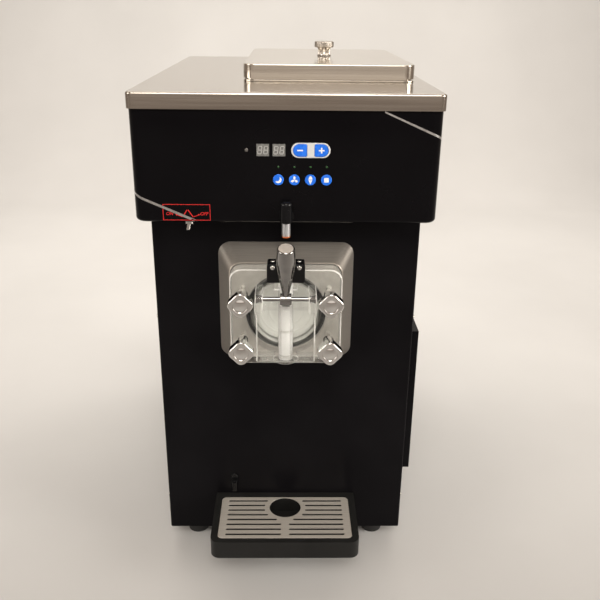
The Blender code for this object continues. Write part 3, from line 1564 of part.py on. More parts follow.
def drive_motor(paint, parent):
    front = GEARBOX_BACK - MOTOR_LENGTH
    axis = (MOTOR_X, 0, MOTOR_Z)
    motor = rod("drive_motor", MOTOR_RADIUS, front, GEARBOX_BACK, axis, "Y", FINE)
    stand = block(
        "drive_motor_stand",
        (MOTOR_X - MOTOR_FOOT_HALF, MOTOR_X + MOTOR_FOOT_HALF),
        (front + MOTOR_FOOT_INSET, GEARBOX_BACK - MOTOR_FOOT_INSET),
        (PAN_FLOOR, MOTOR_Z - MOTOR_RADIUS / 2),
    )
    shaft_seat = (GEARBOX_BACK - SHAFT_SEAT, GEARBOX_BACK + OVER)
    seat = rod("drive_motor_seat", PULLEY_SHAFT + CLEAR, *shaft_seat, axis, "Y", COARSE)
    place(cut(fuse(motor, stand), seat), paint, parent)


# Refrigeration


def compressor(paint, parent):
    y = COVER_FRONT + COMPRESSOR_SETBACK
    base = PAN_FLOOR
    top = base + COMPRESSOR_HEIGHT
    dome = COMPRESSOR_RADIUS / 3
    low = base + COMPRESSOR_PLATE / 2
    profile = (
        (0, low),
        (COMPRESSOR_RADIUS - dome, low),
        (COMPRESSOR_RADIUS, low + dome),
        (COMPRESSOR_RADIUS, top - dome),
        (COMPRESSOR_RADIUS - MID_ROUND * dome, top - MID_ROUND * dome),
        (COMPRESSOR_RADIUS - dome, top),
        (0, top),
    )
    shell = turned("compressor", profile, (COMPRESSOR_X, y, 0))
    half = COMPRESSOR_RADIUS
    plate = block(
        "compressor_plate",
        (COMPRESSOR_X - half, COMPRESSOR_X + half),
        (y - half, y + half),
        (base, base + COMPRESSOR_PLATE),
        COMPRESSOR_CORNER,
    )
    place(fuse(shell, plate), paint, parent)


def condenser(aluminium, parent):
    back = CONDENSER_FRONT + CONDENSER_LENGTH
    top = PAN_FLOOR + CONDENSER_HEIGHT
    core = block(
        "condenser", (CONDENSER_LEFT, CONDENSER_RIGHT), (CONDENSER_FRONT, back), (PAN_FLOOR, top)
    )
    pitch = CONDENSER_LENGTH / (FIN_COUNT + 1)
    grooves = many(
        "condenser_grooves",
        [
            (
                (CONDENSER_RIGHT - FIN_GROOVE_DEPTH, CONDENSER_RIGHT + OVER),
                (CONDENSER_FRONT + i * pitch - FIN_GROOVE / 2, CONDENSER_FRONT + i * pitch + FIN_GROOVE / 2),
                (PAN_FLOOR + 2 * FIN_GROOVE, top - 2 * FIN_GROOVE),
            )
            for i in range(1, FIN_COUNT + 1)
        ],
    )
    place(cut(core, grooves), aluminium, parent)


def condenser_fan(plastic, parent):
    axis = (0, FAN_Y, FAN_Z)
    left = FAN_RIGHT - FAN_WIDTH
    fan = rod("condenser_fan", FAN_HUB, left, FAN_RIGHT, axis, "X", COARSE)
    for i in range(FAN_BLADES):
        blade = block(
            f"fan_blade_{i}",
            (-FAN_BLADE_THICK / 2, FAN_BLADE_THICK / 2),
            (-FAN_BLADE_HALF, FAN_BLADE_HALF),
            (FAN_BLADE_ROOT, FAN_RADIUS),
        )
        turn = Matrix.Rotation(2 * math.pi * i / FAN_BLADES, 4, "X") @ Matrix.Rotation(-FAN_PITCH, 4, "Z")
        middle = Matrix.Translation(((left + FAN_RIGHT) / 2, FAN_Y, FAN_Z))
        blade.data.transform(middle @ turn)
        fuse(fan, blade)
    bore = rod("fan_bore", FAN_SHAFT + CLEAR, left - OVER, FAN_RIGHT + OVER, axis, "X", MEDIUM)
    place(cut(fan, bore), plastic, parent, ((left + FAN_RIGHT) / 2, FAN_Y, FAN_Z))


def fan_motor(paint, parent):
    axis = (0, FAN_Y, FAN_Z)
    left = FAN_MOTOR_RIGHT - FAN_MOTOR_LENGTH
    motor = rod("fan_motor", FAN_MOTOR_RADIUS, left, FAN_MOTOR_RIGHT, axis, "X", MEDIUM)
    shaft = rod("fan_motor_shaft", FAN_SHAFT, FAN_MOTOR_RIGHT - OVER, FAN_RIGHT, axis, "X", MEDIUM)
    half = FAN_RADIUS + BRACKET_MARGIN
    bar = block(
        "fan_bracket_bar",
        (left - BRACKET_THICK, left + WELD),
        (FAN_Y - half - BRACKET_THICK, FAN_Y + half + BRACKET_THICK),
        (FAN_Z - BRACKET_WIDTH / 2, FAN_Z + BRACKET_WIDTH / 2),
    )
    fuse(motor, shaft, bar, solver="MANIFOLD")
    for side, y in (("front", FAN_Y - half - BRACKET_THICK), ("rear", FAN_Y + half)):
        leg = block(
            f"fan_bracket_leg_{side}",
            (left - BRACKET_THICK, CONDENSER_LEFT - CLEAR),
            (y, y + BRACKET_THICK),
            (FAN_Z - BRACKET_WIDTH / 2, FAN_Z + BRACKET_WIDTH / 2),
        )
        fuse(motor, leg, solver="MANIFOLD")
    place(motor, paint, parent)


def build():
    clear_scene()
    machine = bpy.data.objects.new("soft_serve_machine", None)
    bpy.context.scene.collection.objects.link(machine)
    brushed = finish("brushed_steel", (0.52, 0.50, 0.47), 0.32, 1.0)
    polished = finish("polished_steel", (0.62, 0.60, 0.57), 0.12, 1.0)
    chrome = finish("chrome", (0.80, 0.79, 0.77), 0.06, 1.0)
    satin = finish("satin_steel", (0.55, 0.55, 0.55), 0.28, 1.0)
    black = finish("black_paint", (0.010, 0.010, 0.012), 0.30)
    gloss = finish("gloss_black", (0.006, 0.006, 0.007), 0.06)
    dark = finish("black_plastic", (0.018, 0.018, 0.020), 0.42)
    tray_black = finish("tray_plastic", (0.030, 0.031, 0.034), 0.38)
    rubber = finish("rubber", (0.012, 0.012, 0.013), 0.75)
    clear = finish("clear_acrylic", (0.90, 0.93, 0.90), 0.05, 0.0, 1.0)
    white = finish("white_plastic", (0.80, 0.80, 0.77), 0.35)
    seal = finish("seal_silicone", (0.70, 0.70, 0.66), 0.5)
    blue = finish("blue_key", (0.03, 0.16, 0.55), 0.30)
    screen = finish("display_grey", (0.10, 0.10, 0.11), 0.18)
    board = finish("board_green", (0.02, 0.16, 0.06), 0.5)
    cast = finish("cast_grey", (0.20, 0.21, 0.22), 0.55, 0.4)
    fins = finish("aluminium", (0.60, 0.61, 0.62), 0.4, 1.0)

    base_pan(black, machine)
    feet(rubber, machine)
    front_panel(black, machine)
    side_panel("left", -1, black, machine)
    side_panel("right", 1, black, machine)
    rear_panel(black, machine)
    top_cover(brushed, machine)
    side_vent_cover(black, machine)
    cord_gland(dark, machine)

    fascia(gloss, machine)
    control_board(board, machine)
    displays(screen, machine)
    key_surround(white, machine)
    keys(blue, machine)
    power_toggle(dark, chrome, machine)

    hopper(brushed, machine)
    hopper_lid(polished, machine)
    lid_knob(chrome, machine)

    cylinder_bulkhead(black, machine)
    freezing_cylinder(satin, machine)
    face_bezel(brushed, machine)
    beater(white, machine)
    door_gasket(rubber, machine)
    dispensing_door(clear, machine)
    hand_screws(chrome, machine)

    plunger(white, seal, machine)
    plunger_head(dark, machine)
    draw_handle(chrome, machine)
    handle_pin(chrome, machine)
    draw_sensor(dark, satin, machine)

    drip_tray(tray_black, machine)
    drip_grille(satin, machine)
    leak_spout(dark, machine)

    gearbox(cast, machine)
    pulley("gearbox_pulley", BIG_PULLEY, 0, AXIS_Z, cast, machine)
    pulley("motor_pulley", SMALL_PULLEY, MOTOR_X, MOTOR_Z, cast, machine)
    drive_belt(rubber, machine)
    drive_motor(cast, machine)

    compressor(black, machine)
    condenser(fins, machine)
    condenser_fan(dark, machine)
    fan_motor(cast, machine)


build()
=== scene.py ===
"""Looks of the countertop soft serve machine: its finishes and fine shapes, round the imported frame."""

import math

import bmesh
import bpy
from mathutils import Matrix, Vector


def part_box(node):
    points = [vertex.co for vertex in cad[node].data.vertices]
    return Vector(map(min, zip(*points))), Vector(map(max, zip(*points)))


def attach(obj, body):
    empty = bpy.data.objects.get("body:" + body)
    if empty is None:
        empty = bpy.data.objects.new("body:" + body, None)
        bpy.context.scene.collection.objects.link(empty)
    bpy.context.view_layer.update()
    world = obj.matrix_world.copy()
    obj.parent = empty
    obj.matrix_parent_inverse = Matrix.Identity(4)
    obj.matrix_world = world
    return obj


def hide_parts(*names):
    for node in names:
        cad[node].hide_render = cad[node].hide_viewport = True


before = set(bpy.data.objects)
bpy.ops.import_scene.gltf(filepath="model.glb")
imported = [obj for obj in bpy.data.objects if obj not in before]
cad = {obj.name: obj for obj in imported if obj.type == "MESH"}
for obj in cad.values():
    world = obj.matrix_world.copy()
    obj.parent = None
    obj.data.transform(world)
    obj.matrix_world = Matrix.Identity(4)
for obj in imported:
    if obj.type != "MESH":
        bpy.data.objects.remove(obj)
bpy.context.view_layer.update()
scene = bpy.context.scene
scene.view_settings.view_transform = "Standard"


# The studio: a pale seamless floor that sweeps up behind the machine, soft lamps, and the camera
# at the photograph's angle. None of it is part of the machine.

MM = 0.001
FLOOR_HALF = 6.0
FLOOR_NEAR = -6.0
SWEEP_START = 1.9
SWEEP_RADIUS = 0.9
SWEEP_STEPS = 24
WALL_TOP = 4.5
FLOOR_DARK = (0.60, 0.595, 0.585)
FLOOR_LIGHT = (0.66, 0.655, 0.645)
WORLD_COLOUR = (1.0, 0.80, 0.66)
WORLD_STRENGTH = 0.3
LAMP_COLOUR = (1.0, 0.95, 0.88)
LENS = 44.537
SENSOR_WIDTH = 36.0
CAMERA_PITCH = math.radians(21.852)
CAMERA_YAW = math.radians(1.055)
CAMERA_ROLL = math.radians(-0.657)
CAMERA_AHEAD = 950.8 * MM
CAMERA_SHIFT = 2.0 * MM
CAMERA_HEIGHT = 839.5 * MM
SHARP_ANGLE = math.radians(35)
SAME_POINT = 0.001 * MM
FLOAT = "NodeSocketFloat"
COLOUR = "NodeSocketColor"


def mesh_object(name, shape):
    """An object from a bmesh, smooth except across sharp folds."""
    bmesh.ops.remove_doubles(shape, verts=shape.verts, dist=SAME_POINT)
    bmesh.ops.recalc_face_normals(shape, faces=shape.faces)
    mesh = bpy.data.meshes.new(name)
    shape.to_mesh(mesh)
    shape.free()
    mesh.shade_smooth()
    mesh.set_sharp_from_angle(angle=SHARP_ANGLE)
    made = bpy.data.objects.new(name, mesh)
    scene.collection.objects.link(made)
    return made


def arc(centre, radius, start, sweep, steps):
    """Points along part of a circle, by degrees, with both of its ends."""
    points = []
    for step in range(steps + 1):
        angle = math.radians(start + sweep * step / steps)
        points.append((centre[0] + radius * math.cos(angle), centre[1] + radius * math.sin(angle)))
    return points


def ribbon(name, rows):
    """A sheet over rows of two points."""
    shape = bmesh.new()
    made = [[shape.verts.new(point) for point in row] for row in rows]
    for first, second in zip(made, made[1:]):
        shape.faces.new((*first, *reversed(second)))
    return mesh_object(name, shape)


def new_group(name, *inputs):
    """An empty shader node group for a finish, with its own inputs and those of every finish."""
    group = bpy.data.node_groups.new(name, "ShaderNodeTree")
    shared = (("Dark", COLOUR), ("Light", COLOUR), ("Smooth", FLOAT), ("Rough", FLOAT))
    for label, kind in (*inputs, *shared):
        group.interface.new_socket(label, in_out="INPUT", socket_type=kind)
    for label, kind in (("Colour", COLOUR), ("Roughness", FLOAT), ("Height", FLOAT)):
        group.interface.new_socket(label, in_out="OUTPUT", socket_type=kind)
    return group


def group_node(group, kind, sockets=(), **settings):
    made = group.nodes.new(kind)
    for name, value in settings.items():
        setattr(made, name, value)
    for socket, value in sockets:
        made.inputs[socket].default_value = value
    return made


def end_group(group, into, pattern, span, height):
    """Ends a finish's group: a pattern, spread over a span of its values, sets colour and gloss."""
    ends = (("From Min", span[0]), ("From Max", span[1]))
    spread = group_node(group, "ShaderNodeMapRange", ends)
    shade = group_node(group, "ShaderNodeMix", data_type="RGBA")
    gloss = group_node(group, "ShaderNodeMapRange")
    out = group_node(group, "NodeGroupOutput")
    for source, target in (
        (pattern, spread.inputs["Value"]),
        (spread.outputs["Result"], shade.inputs["Factor"]),
        (into.outputs["Dark"], shade.inputs[6]),
        (into.outputs["Light"], shade.inputs[7]),
        (spread.outputs["Result"], gloss.inputs["Value"]),
        (into.outputs["Smooth"], gloss.inputs["To Min"]),
        (into.outputs["Rough"], gloss.inputs["To Max"]),
        (shade.outputs[2], out.inputs["Colour"]),
        (gloss.outputs["Result"], out.inputs["Roughness"]),
        (height, out.inputs["Height"]),
    ):
        group.links.new(source, target)


def mottle_group():
    """Slow drift of colour and gloss over a surface, with a fine grain for its relief."""
    group = new_group("mottle", ("Patch Scale", FLOAT), ("Grain Scale", FLOAT))
    into = group_node(group, "NodeGroupInput")
    place = group_node(group, "ShaderNodeTexCoord")
    patches = group_node(group, "ShaderNodeTexNoise", (("Detail", 5.0),))
    grain = group_node(group, "ShaderNodeTexNoise", (("Detail", 2.0),))
    for noise, scale in ((patches, "Patch Scale"), (grain, "Grain Scale")):
        group.links.new(place.outputs["Object"], noise.inputs["Vector"])
        group.links.new(into.outputs[scale], noise.inputs["Scale"])
    end_group(group, into, patches.outputs["Fac"], (0.3, 0.7), grain.outputs["Fac"])
    return group


def new_finish(name, group, pattern, colours, gloss, relief, metallic, specular=0.5):
    """A material whose colour, roughness and relief come from a node group."""
    finish = bpy.data.materials.new(name)
    finish.use_nodes = True
    tree = finish.node_tree
    shader = tree.nodes["Principled BSDF"]
    shader.inputs["Metallic"].default_value = metallic
    shader.inputs["Specular IOR Level"].default_value = specular
    source = tree.nodes.new("ShaderNodeGroup")
    source.node_tree = group
    shades = {"Dark": (*colours[0], 1), "Light": (*colours[1], 1), "Smooth": gloss[0], "Rough": gloss[1]}
    for socket, value in {**pattern, **shades}.items():
        source.inputs[socket].default_value = value
    bump = tree.nodes.new("ShaderNodeBump")
    bump.inputs["Strength"].default_value = 1.0
    bump.inputs["Distance"].default_value = relief
    tree.links.new(source.outputs["Colour"], shader.inputs["Base Color"])
    tree.links.new(source.outputs["Roughness"], shader.inputs["Roughness"])
    tree.links.new(source.outputs["Height"], bump.inputs["Height"])
    tree.links.new(bump.outputs["Normal"], shader.inputs["Normal"])
    return finish


mottle = mottle_group()


def mottled(name, dark, light, gloss, patch=12.0, grain=900.0, relief=0.01 * MM, metallic=0.0, **other):
    """A painted, moulded or cast finish. gloss gives its smoothest and roughest value."""
    pattern = {"Patch Scale": patch, "Grain Scale": grain}
    return new_finish(name, mottle, pattern, (dark, light), gloss, relief, metallic, **other)


def studio_floor():
    sweep = arc((SWEEP_START, SWEEP_RADIUS), SWEEP_RADIUS, -90, 90, SWEEP_STEPS)
    profile = [(FLOOR_NEAR, 0.0), *sweep, (SWEEP_START + SWEEP_RADIUS, WALL_TOP)]
    floor = ribbon("studio_floor", [[(x, y, z) for x in (-FLOOR_HALF, FLOOR_HALF)] for y, z in profile])
    paper = mottled("studio_paper", FLOOR_DARK, FLOOR_LIGHT, (0.8, 0.9), patch=1.5, specular=0.2)
    floor.data.materials.append(paper)


studio_floor()


def soft_lamp(name, wide, tall, power, at, towards, spread=180):
    lamp = bpy.data.lights.new(name, "AREA")
    lamp.shape = "RECTANGLE"
    lamp.size = wide
    lamp.size_y = tall
    lamp.energy = power
    lamp.color = LAMP_COLOUR
    lamp.spread = math.radians(spread)
    made = bpy.data.objects.new(name, lamp)
    scene.collection.objects.link(made)
    aim = (Vector(towards) - Vector(at)).to_track_quat("-Z", "Y")
    made.matrix_world = Matrix.Translation(at) @ aim.to_matrix().to_4x4()


soft_lamp("overhead_lamp", 3.6, 2.4, 34.0, (0.0, 0.9, 2.7), (0.0, 0.3, 0.0))
soft_lamp("front_lamp", 4.0, 0.9, 7.2, (0.0, -1.9, 2.2), (0.0, -0.2, 0.62), 36)
soft_lamp("fill_lamp", 7.0, 2.4, 30.0, (0.0, -4.4, 1.6), (0.0, 0.0, 0.6))
soft_lamp("left_lamp", 1.6, 1.6, 3.0, (-2.0, -1.1, 1.2), (0.0, -0.2, 0.55), 44)
soft_lamp("right_lamp", 1.6, 1.6, 6.0, (2.0, -1.0, 1.2), (0.0, -0.2, 0.55), 44)
soft_lamp("wall_lamp", 3.4, 0.9, 66.0, (0.0, 0.9, 2.4), (0.0, 2.8, 1.35))

world = bpy.data.worlds.new("studio_room")
world.use_nodes = True
world.node_tree.nodes["Background"].inputs["Color"].default_value = (*WORLD_COLOUR, 1)
world.node_tree.nodes["Background"].inputs["Strength"].default_value = WORLD_STRENGTH
scene.world = world


def set_camera():
    camera = bpy.data.cameras.new("photo_camera")
    camera.lens = LENS
    camera.sensor_width = SENSOR_WIDTH
    made = bpy.data.objects.new("photo_camera", camera)
    scene.collection.objects.link(made)
    level_reach = math.cos(CAMERA_PITCH)
    ahead = math.cos(CAMERA_YAW) * level_reach
    look = Vector((math.sin(CAMERA_YAW) * level_reach, ahead, -math.sin(CAMERA_PITCH)))
    right = Vector((math.cos(CAMERA_YAW), -math.sin(CAMERA_YAW), 0))
    down = look.cross(right)
    rolled_right = math.cos(CAMERA_ROLL) * right + math.sin(CAMERA_ROLL) * down
    rolled_down = math.cos(CAMERA_ROLL) * down - math.sin(CAMERA_ROLL) * right
    turn = Matrix((rolled_right, -rolled_down, -look)).transposed().to_4x4()
    spot = (CAMERA_SHIFT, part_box("top_cover")[0].y - CAMERA_AHEAD, CAMERA_HEIGHT)
    made.matrix_world = Matrix.Translation(spot) @ turn
    scene.camera = made


set_camera()


# Feet: black rubber buffers moulded round a steel insert and screwed into the base pan.
# They taper to the floor and carry a shallow grip ring.

FOOT_TAPER = 3 * MM
FOOT_EDGE = 1.5 * MM
FOOT_GROOVE = 1 * MM


def extents(node):
    """A solid's low corner, high corner and middle."""
    low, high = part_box(node)
    return low, high, (low + high) / 2


def circle(radius, centre=(0.0, 0.0), steps=64):
    return arc(centre, radius, 0, 360, steps)[:-1]


def lifted(outline, axis, height):
    """Puts a flat outline at a height along an axis."""
    place = "XYZ".index(axis)
    return [(*point[:place], height, *point[place:]) for point in outline]


def lofted(name, rings, closed=False):
    """A skin over rings of points that have the same count, with its ends capped or joined."""
    shape = bmesh.new()
    loops = [[shape.verts.new(point) for point in ring] for ring in rings]
    pairs = list(zip(loops, loops[1:]))
    if closed:
        pairs.append((loops[-1], loops[0]))
    count = len(rings[0])
    for first, second in pairs:
        for i in range(count):
            j = (i + 1) % count
            shape.faces.new((first[i], first[j], second[j], second[i]))
    if not closed:
        shape.faces.new(loops[0])
        shape.faces.new(loops[-1])
    return mesh_object(name, shape)


def turned(name, profile, centre, axis="Z", steps=64, closed=False):
    """A solid or a ring turned about an axis, from (radius, height) pairs."""
    return lofted(name, [lifted(circle(r, centre, steps), axis, h) for r, h in profile], closed)


def rounding(edge, steps):
    """How far in and how far down the points of a rounded edge lie, from its side to its top."""
    for step in range(steps + 1):
        angle = math.pi / 2 * step / steps
        yield edge * (1 - math.cos(angle)), edge * (1 - math.sin(angle))


def fillet(radius, height, edge, up=True, steps=4):
    """(radius, height) pairs that round the outer edge of a turned end."""
    if up:
        return [(radius - inward, height - down) for inward, down in rounding(edge, steps)]
    return [(radius - inward, height + down) for inward, down in rounding(edge, steps)][::-1]


def dress(piece, finish, body, slot, *nodes):
    """Gives a piece its finish and its body, and hides the solids that it stands for. Its slot is not used.
    """
    if finish:
        piece.data.materials.clear()
        piece.data.materials.append(finish)
    even = piece.modifiers.new("even_normals", "WEIGHTED_NORMAL")
    even.keep_sharp = True
    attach(piece, body)
    if nodes:
        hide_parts(*nodes)


foot_rubber = mottled("foot_rubber", (0.012, 0.012, 0.012), (0.02, 0.02, 0.019), (0.6, 0.75), grain=600.0)
for node in ("foot_front_left", "foot_front_right", "foot_rear_left", "foot_rear_right"):
    low, high, middle = extents(node)
    top_radius = (high.x - low.x) / 2
    mid_radius = top_radius - FOOT_TAPER / 2
    profile = fillet(top_radius - FOOT_TAPER, low.z, FOOT_EDGE, up=False)
    for inward, rise in ((0, -2), (1, -1), (1, 1), (0, 2)):
        profile.append((mid_radius - inward * FOOT_GROOVE, middle.z + rise * FOOT_GROOVE))
    profile += fillet(top_radius, high.z, FOOT_EDGE)
    foot = turned(f"rubber_{node}", profile, (middle.x, middle.y))
    dress(foot, foot_rubber, "casing", "rubber", node)


# Base pan and body panels: folded steel sheet in satin black powder coat, with a fine orange peel.
# The panels hang from the frame and are held by small screws on their returns.

PANEL_EDGE = 0.6 * MM
PANEL_SCREW_RADIUS = 3.4 * MM
PANEL_SCREW_RISE = 1.7 * MM
PANEL_SCREW_BACK = 6 * MM
PANEL_SCREW_LEVELS = (96 * MM, 410 * MM)
DOME_STEPS = 24
DOME_ROWS = 5
TIP_SHARE = 0.02
WELD_GAP = 0.01 * MM
FLAT_ANGLE = math.radians(0.5)

body_paint = mottled(
    "satin_black_paint",
    (0.0035, 0.0032, 0.0040),
    (0.0060, 0.0056, 0.0066),
    (0.28, 0.38),
    patch=9.0,
    grain=1100.0,
    relief=0.008 * MM,
    specular=0.07,
)


def soft_edges(piece, width, segments=2, angle=40):
    """Rounds a piece's sharp folds."""
    soft = piece.modifiers.new("soft_edges", "BEVEL")
    soft.width = width
    soft.segments = segments
    soft.limit_method = "ANGLE"
    soft.angle_limit = math.radians(angle)
    soft.harden_normals = True


def keep_node(node, finish, edge=0.0):
    """Shows a solid as it is, with a finish and, where asked, softened edges."""
    made = cad[node]
    for held in made.material_slots:
        held.material = finish
    if edge:
        weld = made.modifiers.new("weld", "WELD")
        weld.merge_threshold = WELD_GAP
        flat = made.modifiers.new("flat_faces", "DECIMATE")
        flat.decimate_type = "DISSOLVE"
        flat.angle_limit = FLAT_ANGLE
        soft_edges(made, edge)


for node in ("base_pan", "front_panel", "left_side_panel", "right_side_panel", "rear_panel"):
    keep_node(node, body_paint, PANEL_EDGE)

bright_steel = mottled(
    "bright_fastener_steel",
    (0.55, 0.54, 0.52),
    (0.68, 0.67, 0.65),
    (0.14, 0.24),
    patch=160.0,
    grain=2500.0,
    relief=0.004 * MM,
    metallic=1.0,
)


def dome(name, radius, rise, base, out):
    """A round-headed cap that stands out from a point along a direction."""
    profile = []
    for row in range(DOME_ROWS + 1):
        angle = math.pi / 2 * row / DOME_ROWS
        profile.append((radius * max(math.cos(angle), TIP_SHARE), rise * math.sin(angle)))
    made = turned(name, profile, (0.0, 0.0), steps=DOME_STEPS)
    aim = Vector((0, 0, 1)).rotation_difference(Vector(out)).to_matrix().to_4x4()
    made.data.transform(Matrix.Translation(base) @ aim)
    return made


panel_low, panel_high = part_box("front_panel")
for side, x, out in (("left", panel_low.x, -1), ("right", panel_high.x, 1)):
    for row, z in zip(("lower", "upper"), PANEL_SCREW_LEVELS):
        base = (x, panel_low.y + PANEL_SCREW_BACK, z)
        screw = dome(f"panel_screw_{row}_{side}", PANEL_SCREW_RADIUS, PANEL_SCREW_RISE, base, (out, 0, 0))
        dress(screw, bright_steel, "casing", "satin_steel")


# Side vent cover: a shallow folded box of slotted steel sheet, in the same paint as the panels.
# It is screwed over the condenser's air window.

keep_node("side_vent_cover", body_paint, PANEL_EDGE)


# Cord gland: a black nylon screw-in bush with a tapered collar, in the rear panel, where the mains
# lead comes out.

GLAND_EDGE = 0.4 * MM

moulded_black = mottled(
    "moulded_black_plastic",
    (0.011, 0.011, 0.012),
    (0.019, 0.019, 0.02),
    (0.3, 0.42),
    patch=40.0,
    grain=1600.0,
)
keep_node("cord_gland", moulded_black, GLAND_EDGE)


# Inner works: the drive motor, belt and gearbox behind the freezing cylinder, and the refrigeration
# below. Painted, cast and bare metal pieces bolted to the pan and the bulkhead, seen through the vents.

motor_paint = mottled("motor_paint", (0.05, 0.07, 0.10), (0.07, 0.095, 0.13), (0.4, 0.55), patch=30.0)
cast_metal = mottled(
    "cast_metal", (0.30, 0.30, 0.30), (0.40, 0.40, 0.39), (0.45, 0.6), patch=50.0, grain=700.0, metallic=1.0
)
belt_rubber = mottled("belt_rubber", (0.014, 0.014, 0.014), (0.022, 0.022, 0.022), (0.6, 0.8), patch=60.0)
fin_metal = mottled(
    "fin_aluminium", (0.62, 0.62, 0.63), (0.76, 0.76, 0.77), (0.3, 0.42), patch=80.0, metallic=1.0
)
keep_node("drive_motor", motor_paint)
for node in ("gearbox", "gearbox_pulley", "motor_pulley"):
    keep_node(node, cast_metal)
keep_node("drive_belt", belt_rubber)
keep_node("compressor", mottled("compressor_paint", (0.01, 0.01, 0.01), (0.02, 0.02, 0.02), (0.3, 0.45)))
for node in ("condenser", "condenser_fan"):
    keep_node(node, fin_metal)
keep_node("fan_motor", motor_paint)
keep_node("cylinder_bulkhead", body_paint, PANEL_EDGE)


# Bezel: a folded frame of brushed stainless steel that slopes from the front panel to the door.
# Its corners are rolled, and the brushing runs round it.

BEZEL_WALL = 1.5 * MM
BEZEL_GAP = 0.5 * MM
BEZEL_BACK_CORNER = 18 * MM
BEZEL_FRONT_CORNER = 16 * MM
BEZEL_EDGE = 0.5 * MM
CORNER_STEPS = 10
DRIFT_SHARE = 0.12


def brushing_group():
    """Fine parallel lines left by abrasive, drawn long one way, with slow drift."""
    group = new_group("brushing", ("Stretch", "NodeSocketVector"))
    into = group_node(group, "NodeGroupInput")
    place = group_node(group, "ShaderNodeTexCoord")
    stretch = group_node(group, "ShaderNodeVectorMath", operation="MULTIPLY")
    fine = (("Scale", 1.0), ("Detail", 4.0), ("Roughness", 0.65))
    lines = group_node(group, "ShaderNodeTexNoise", fine)
    drift = group_node(group, "ShaderNodeTexNoise", (("Scale", 7.0),))
    both = group_node(group, "ShaderNodeMath", ((1, DRIFT_SHARE),), operation="MULTIPLY_ADD")
    for source, target in (
        (place.outputs["Object"], stretch.inputs[0]),
        (into.outputs["Stretch"], stretch.inputs[1]),
        (stretch.outputs["Vector"], lines.inputs["Vector"]),
        (place.outputs["Object"], drift.inputs["Vector"]),
        (drift.outputs["Fac"], both.inputs[0]),
        (lines.outputs["Fac"], both.inputs[2]),
    ):
        group.links.new(source, target)
    end_group(group, into, both.outputs["Value"], (0.45, 0.95), lines.outputs["Fac"])
    return group


brushing = brushing_group()


def brushed(name, dark, light, gloss, stretch, relief=0.006 * MM, metallic=1.0):
    """A brushed stainless finish. The small value of stretch is the way that the lines run."""
    return new_finish(name, brushing, {"Stretch": stretch}, (dark, light), gloss, relief, metallic)


def rounded(a, b, radius, steps=CORNER_STEPS):
    """The outline of a rectangle with round corners, between two values each way."""
    near = (a[0] + radius, b[0] + radius)
    far = (a[1] - radius, b[1] - radius)
    points = []
    for quarter, corner in enumerate((far, (near[0], far[1]), near, (far[0], near[1]))):
        points += arc(corner, radius, 90 * quarter, 90, steps)
    return points


def box_outline(low, high, axes, radius, grow=0.0, steps=CORNER_STEPS):
    """The round-cornered outline of a box in the plane of two axes, grown all round."""
    a, b = ((getattr(low, axis) - grow, getattr(high, axis) + grow) for axis in axes)
    return rounded(a, b, radius, steps)


def face_bezel():
    low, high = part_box("face_bezel")
    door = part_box("dispensing_door")
    flare = high.x - door[1].x - BEZEL_GAP - BEZEL_WALL
    rings = []
    for grow, corner, y in (
        (flare, BEZEL_BACK_CORNER, high.y),
        (flare + BEZEL_WALL, BEZEL_BACK_CORNER, high.y),
        (BEZEL_WALL + BEZEL_EDGE, BEZEL_FRONT_CORNER + BEZEL_WALL, low.y + 2 * BEZEL_EDGE),
        (BEZEL_WALL - BEZEL_EDGE, BEZEL_FRONT_CORNER + BEZEL_WALL / 2, low.y),
        (0, BEZEL_FRONT_CORNER, low.y),
    ):
        rings.append(lifted(box_outline(*door, "xz", corner, BEZEL_GAP + grow), "Y", y))
    return lofted("face_bezel_sheet", rings, closed=True)


bezel_steel = brushed(
    "brushed_bezel_steel",
    (0.58, 0.535, 0.48),
    (0.74, 0.685, 0.62),
    (0.30, 0.38),
    (14.0, 260.0, 700.0),
    relief=0.0008 * MM,
    metallic=0.78,
)
dress(face_bezel(), bezel_steel, "casing", "brushed_steel", "face_bezel")


# Freezing cylinder: a stainless steel barrel with a welded flange and four studs, and the white
# plastic beater that turns inside it. A black rubber ring seals the door on the flange.

GASKET_EDGE = 1.2 * MM
GASKET_WIDTH = 6 * MM
GUIDE_RADIUS = 45 * MM
GUIDE_HUB = 13.5 * MM
GUIDE_THICK = 2 * MM
GUIDE_INSET = 0.8 * MM
GUIDE_RIB = 1.6 * MM
GUIDE_RINGS = (24 * MM, 36 * MM)
RING_STEPS = 96

cylinder_steel = brushed(
    "freezing_cylinder_steel",
    (0.60, 0.58, 0.54),
    (0.75, 0.73, 0.69),
    (0.36, 0.48),
    (120.0, 900.0, 120.0),
    metallic=0.6,
)
keep_node("freezing_cylinder", cylinder_steel)
beater_plastic = mottled(
    "beater_white_plastic", (0.79, 0.80, 0.76), (0.86, 0.87, 0.83), (0.35, 0.45), patch=60.0, specular=0.4
)
keep_node("beater", beater_plastic)


def beater_guide():
    """The round guide on the beater's front end, with raised rings and a gap for the mix."""
    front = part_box("beater")[0].y + GUIDE_INSET
    back = front + GUIDE_THICK
    section = [(GUIDE_HUB, back), (GUIDE_HUB, front)]
    for ring in GUIDE_RINGS:
        for across, rise in ((-1, 0), (-0.5, 1), (0.5, 1), (1, 0)):
            section.append((ring + across * GUIDE_RIB, front - rise * GUIDE_INSET))
    section += [(GUIDE_RADIUS, front), (GUIDE_RADIUS, back)]
    centre = (0.0, extents("dispensing_door")[2].z)
    return turned("white_beater_guide", section, centre, "Y", RING_STEPS, closed=True)


dress(beater_guide(), beater_plastic, "beater", "white_plastic")


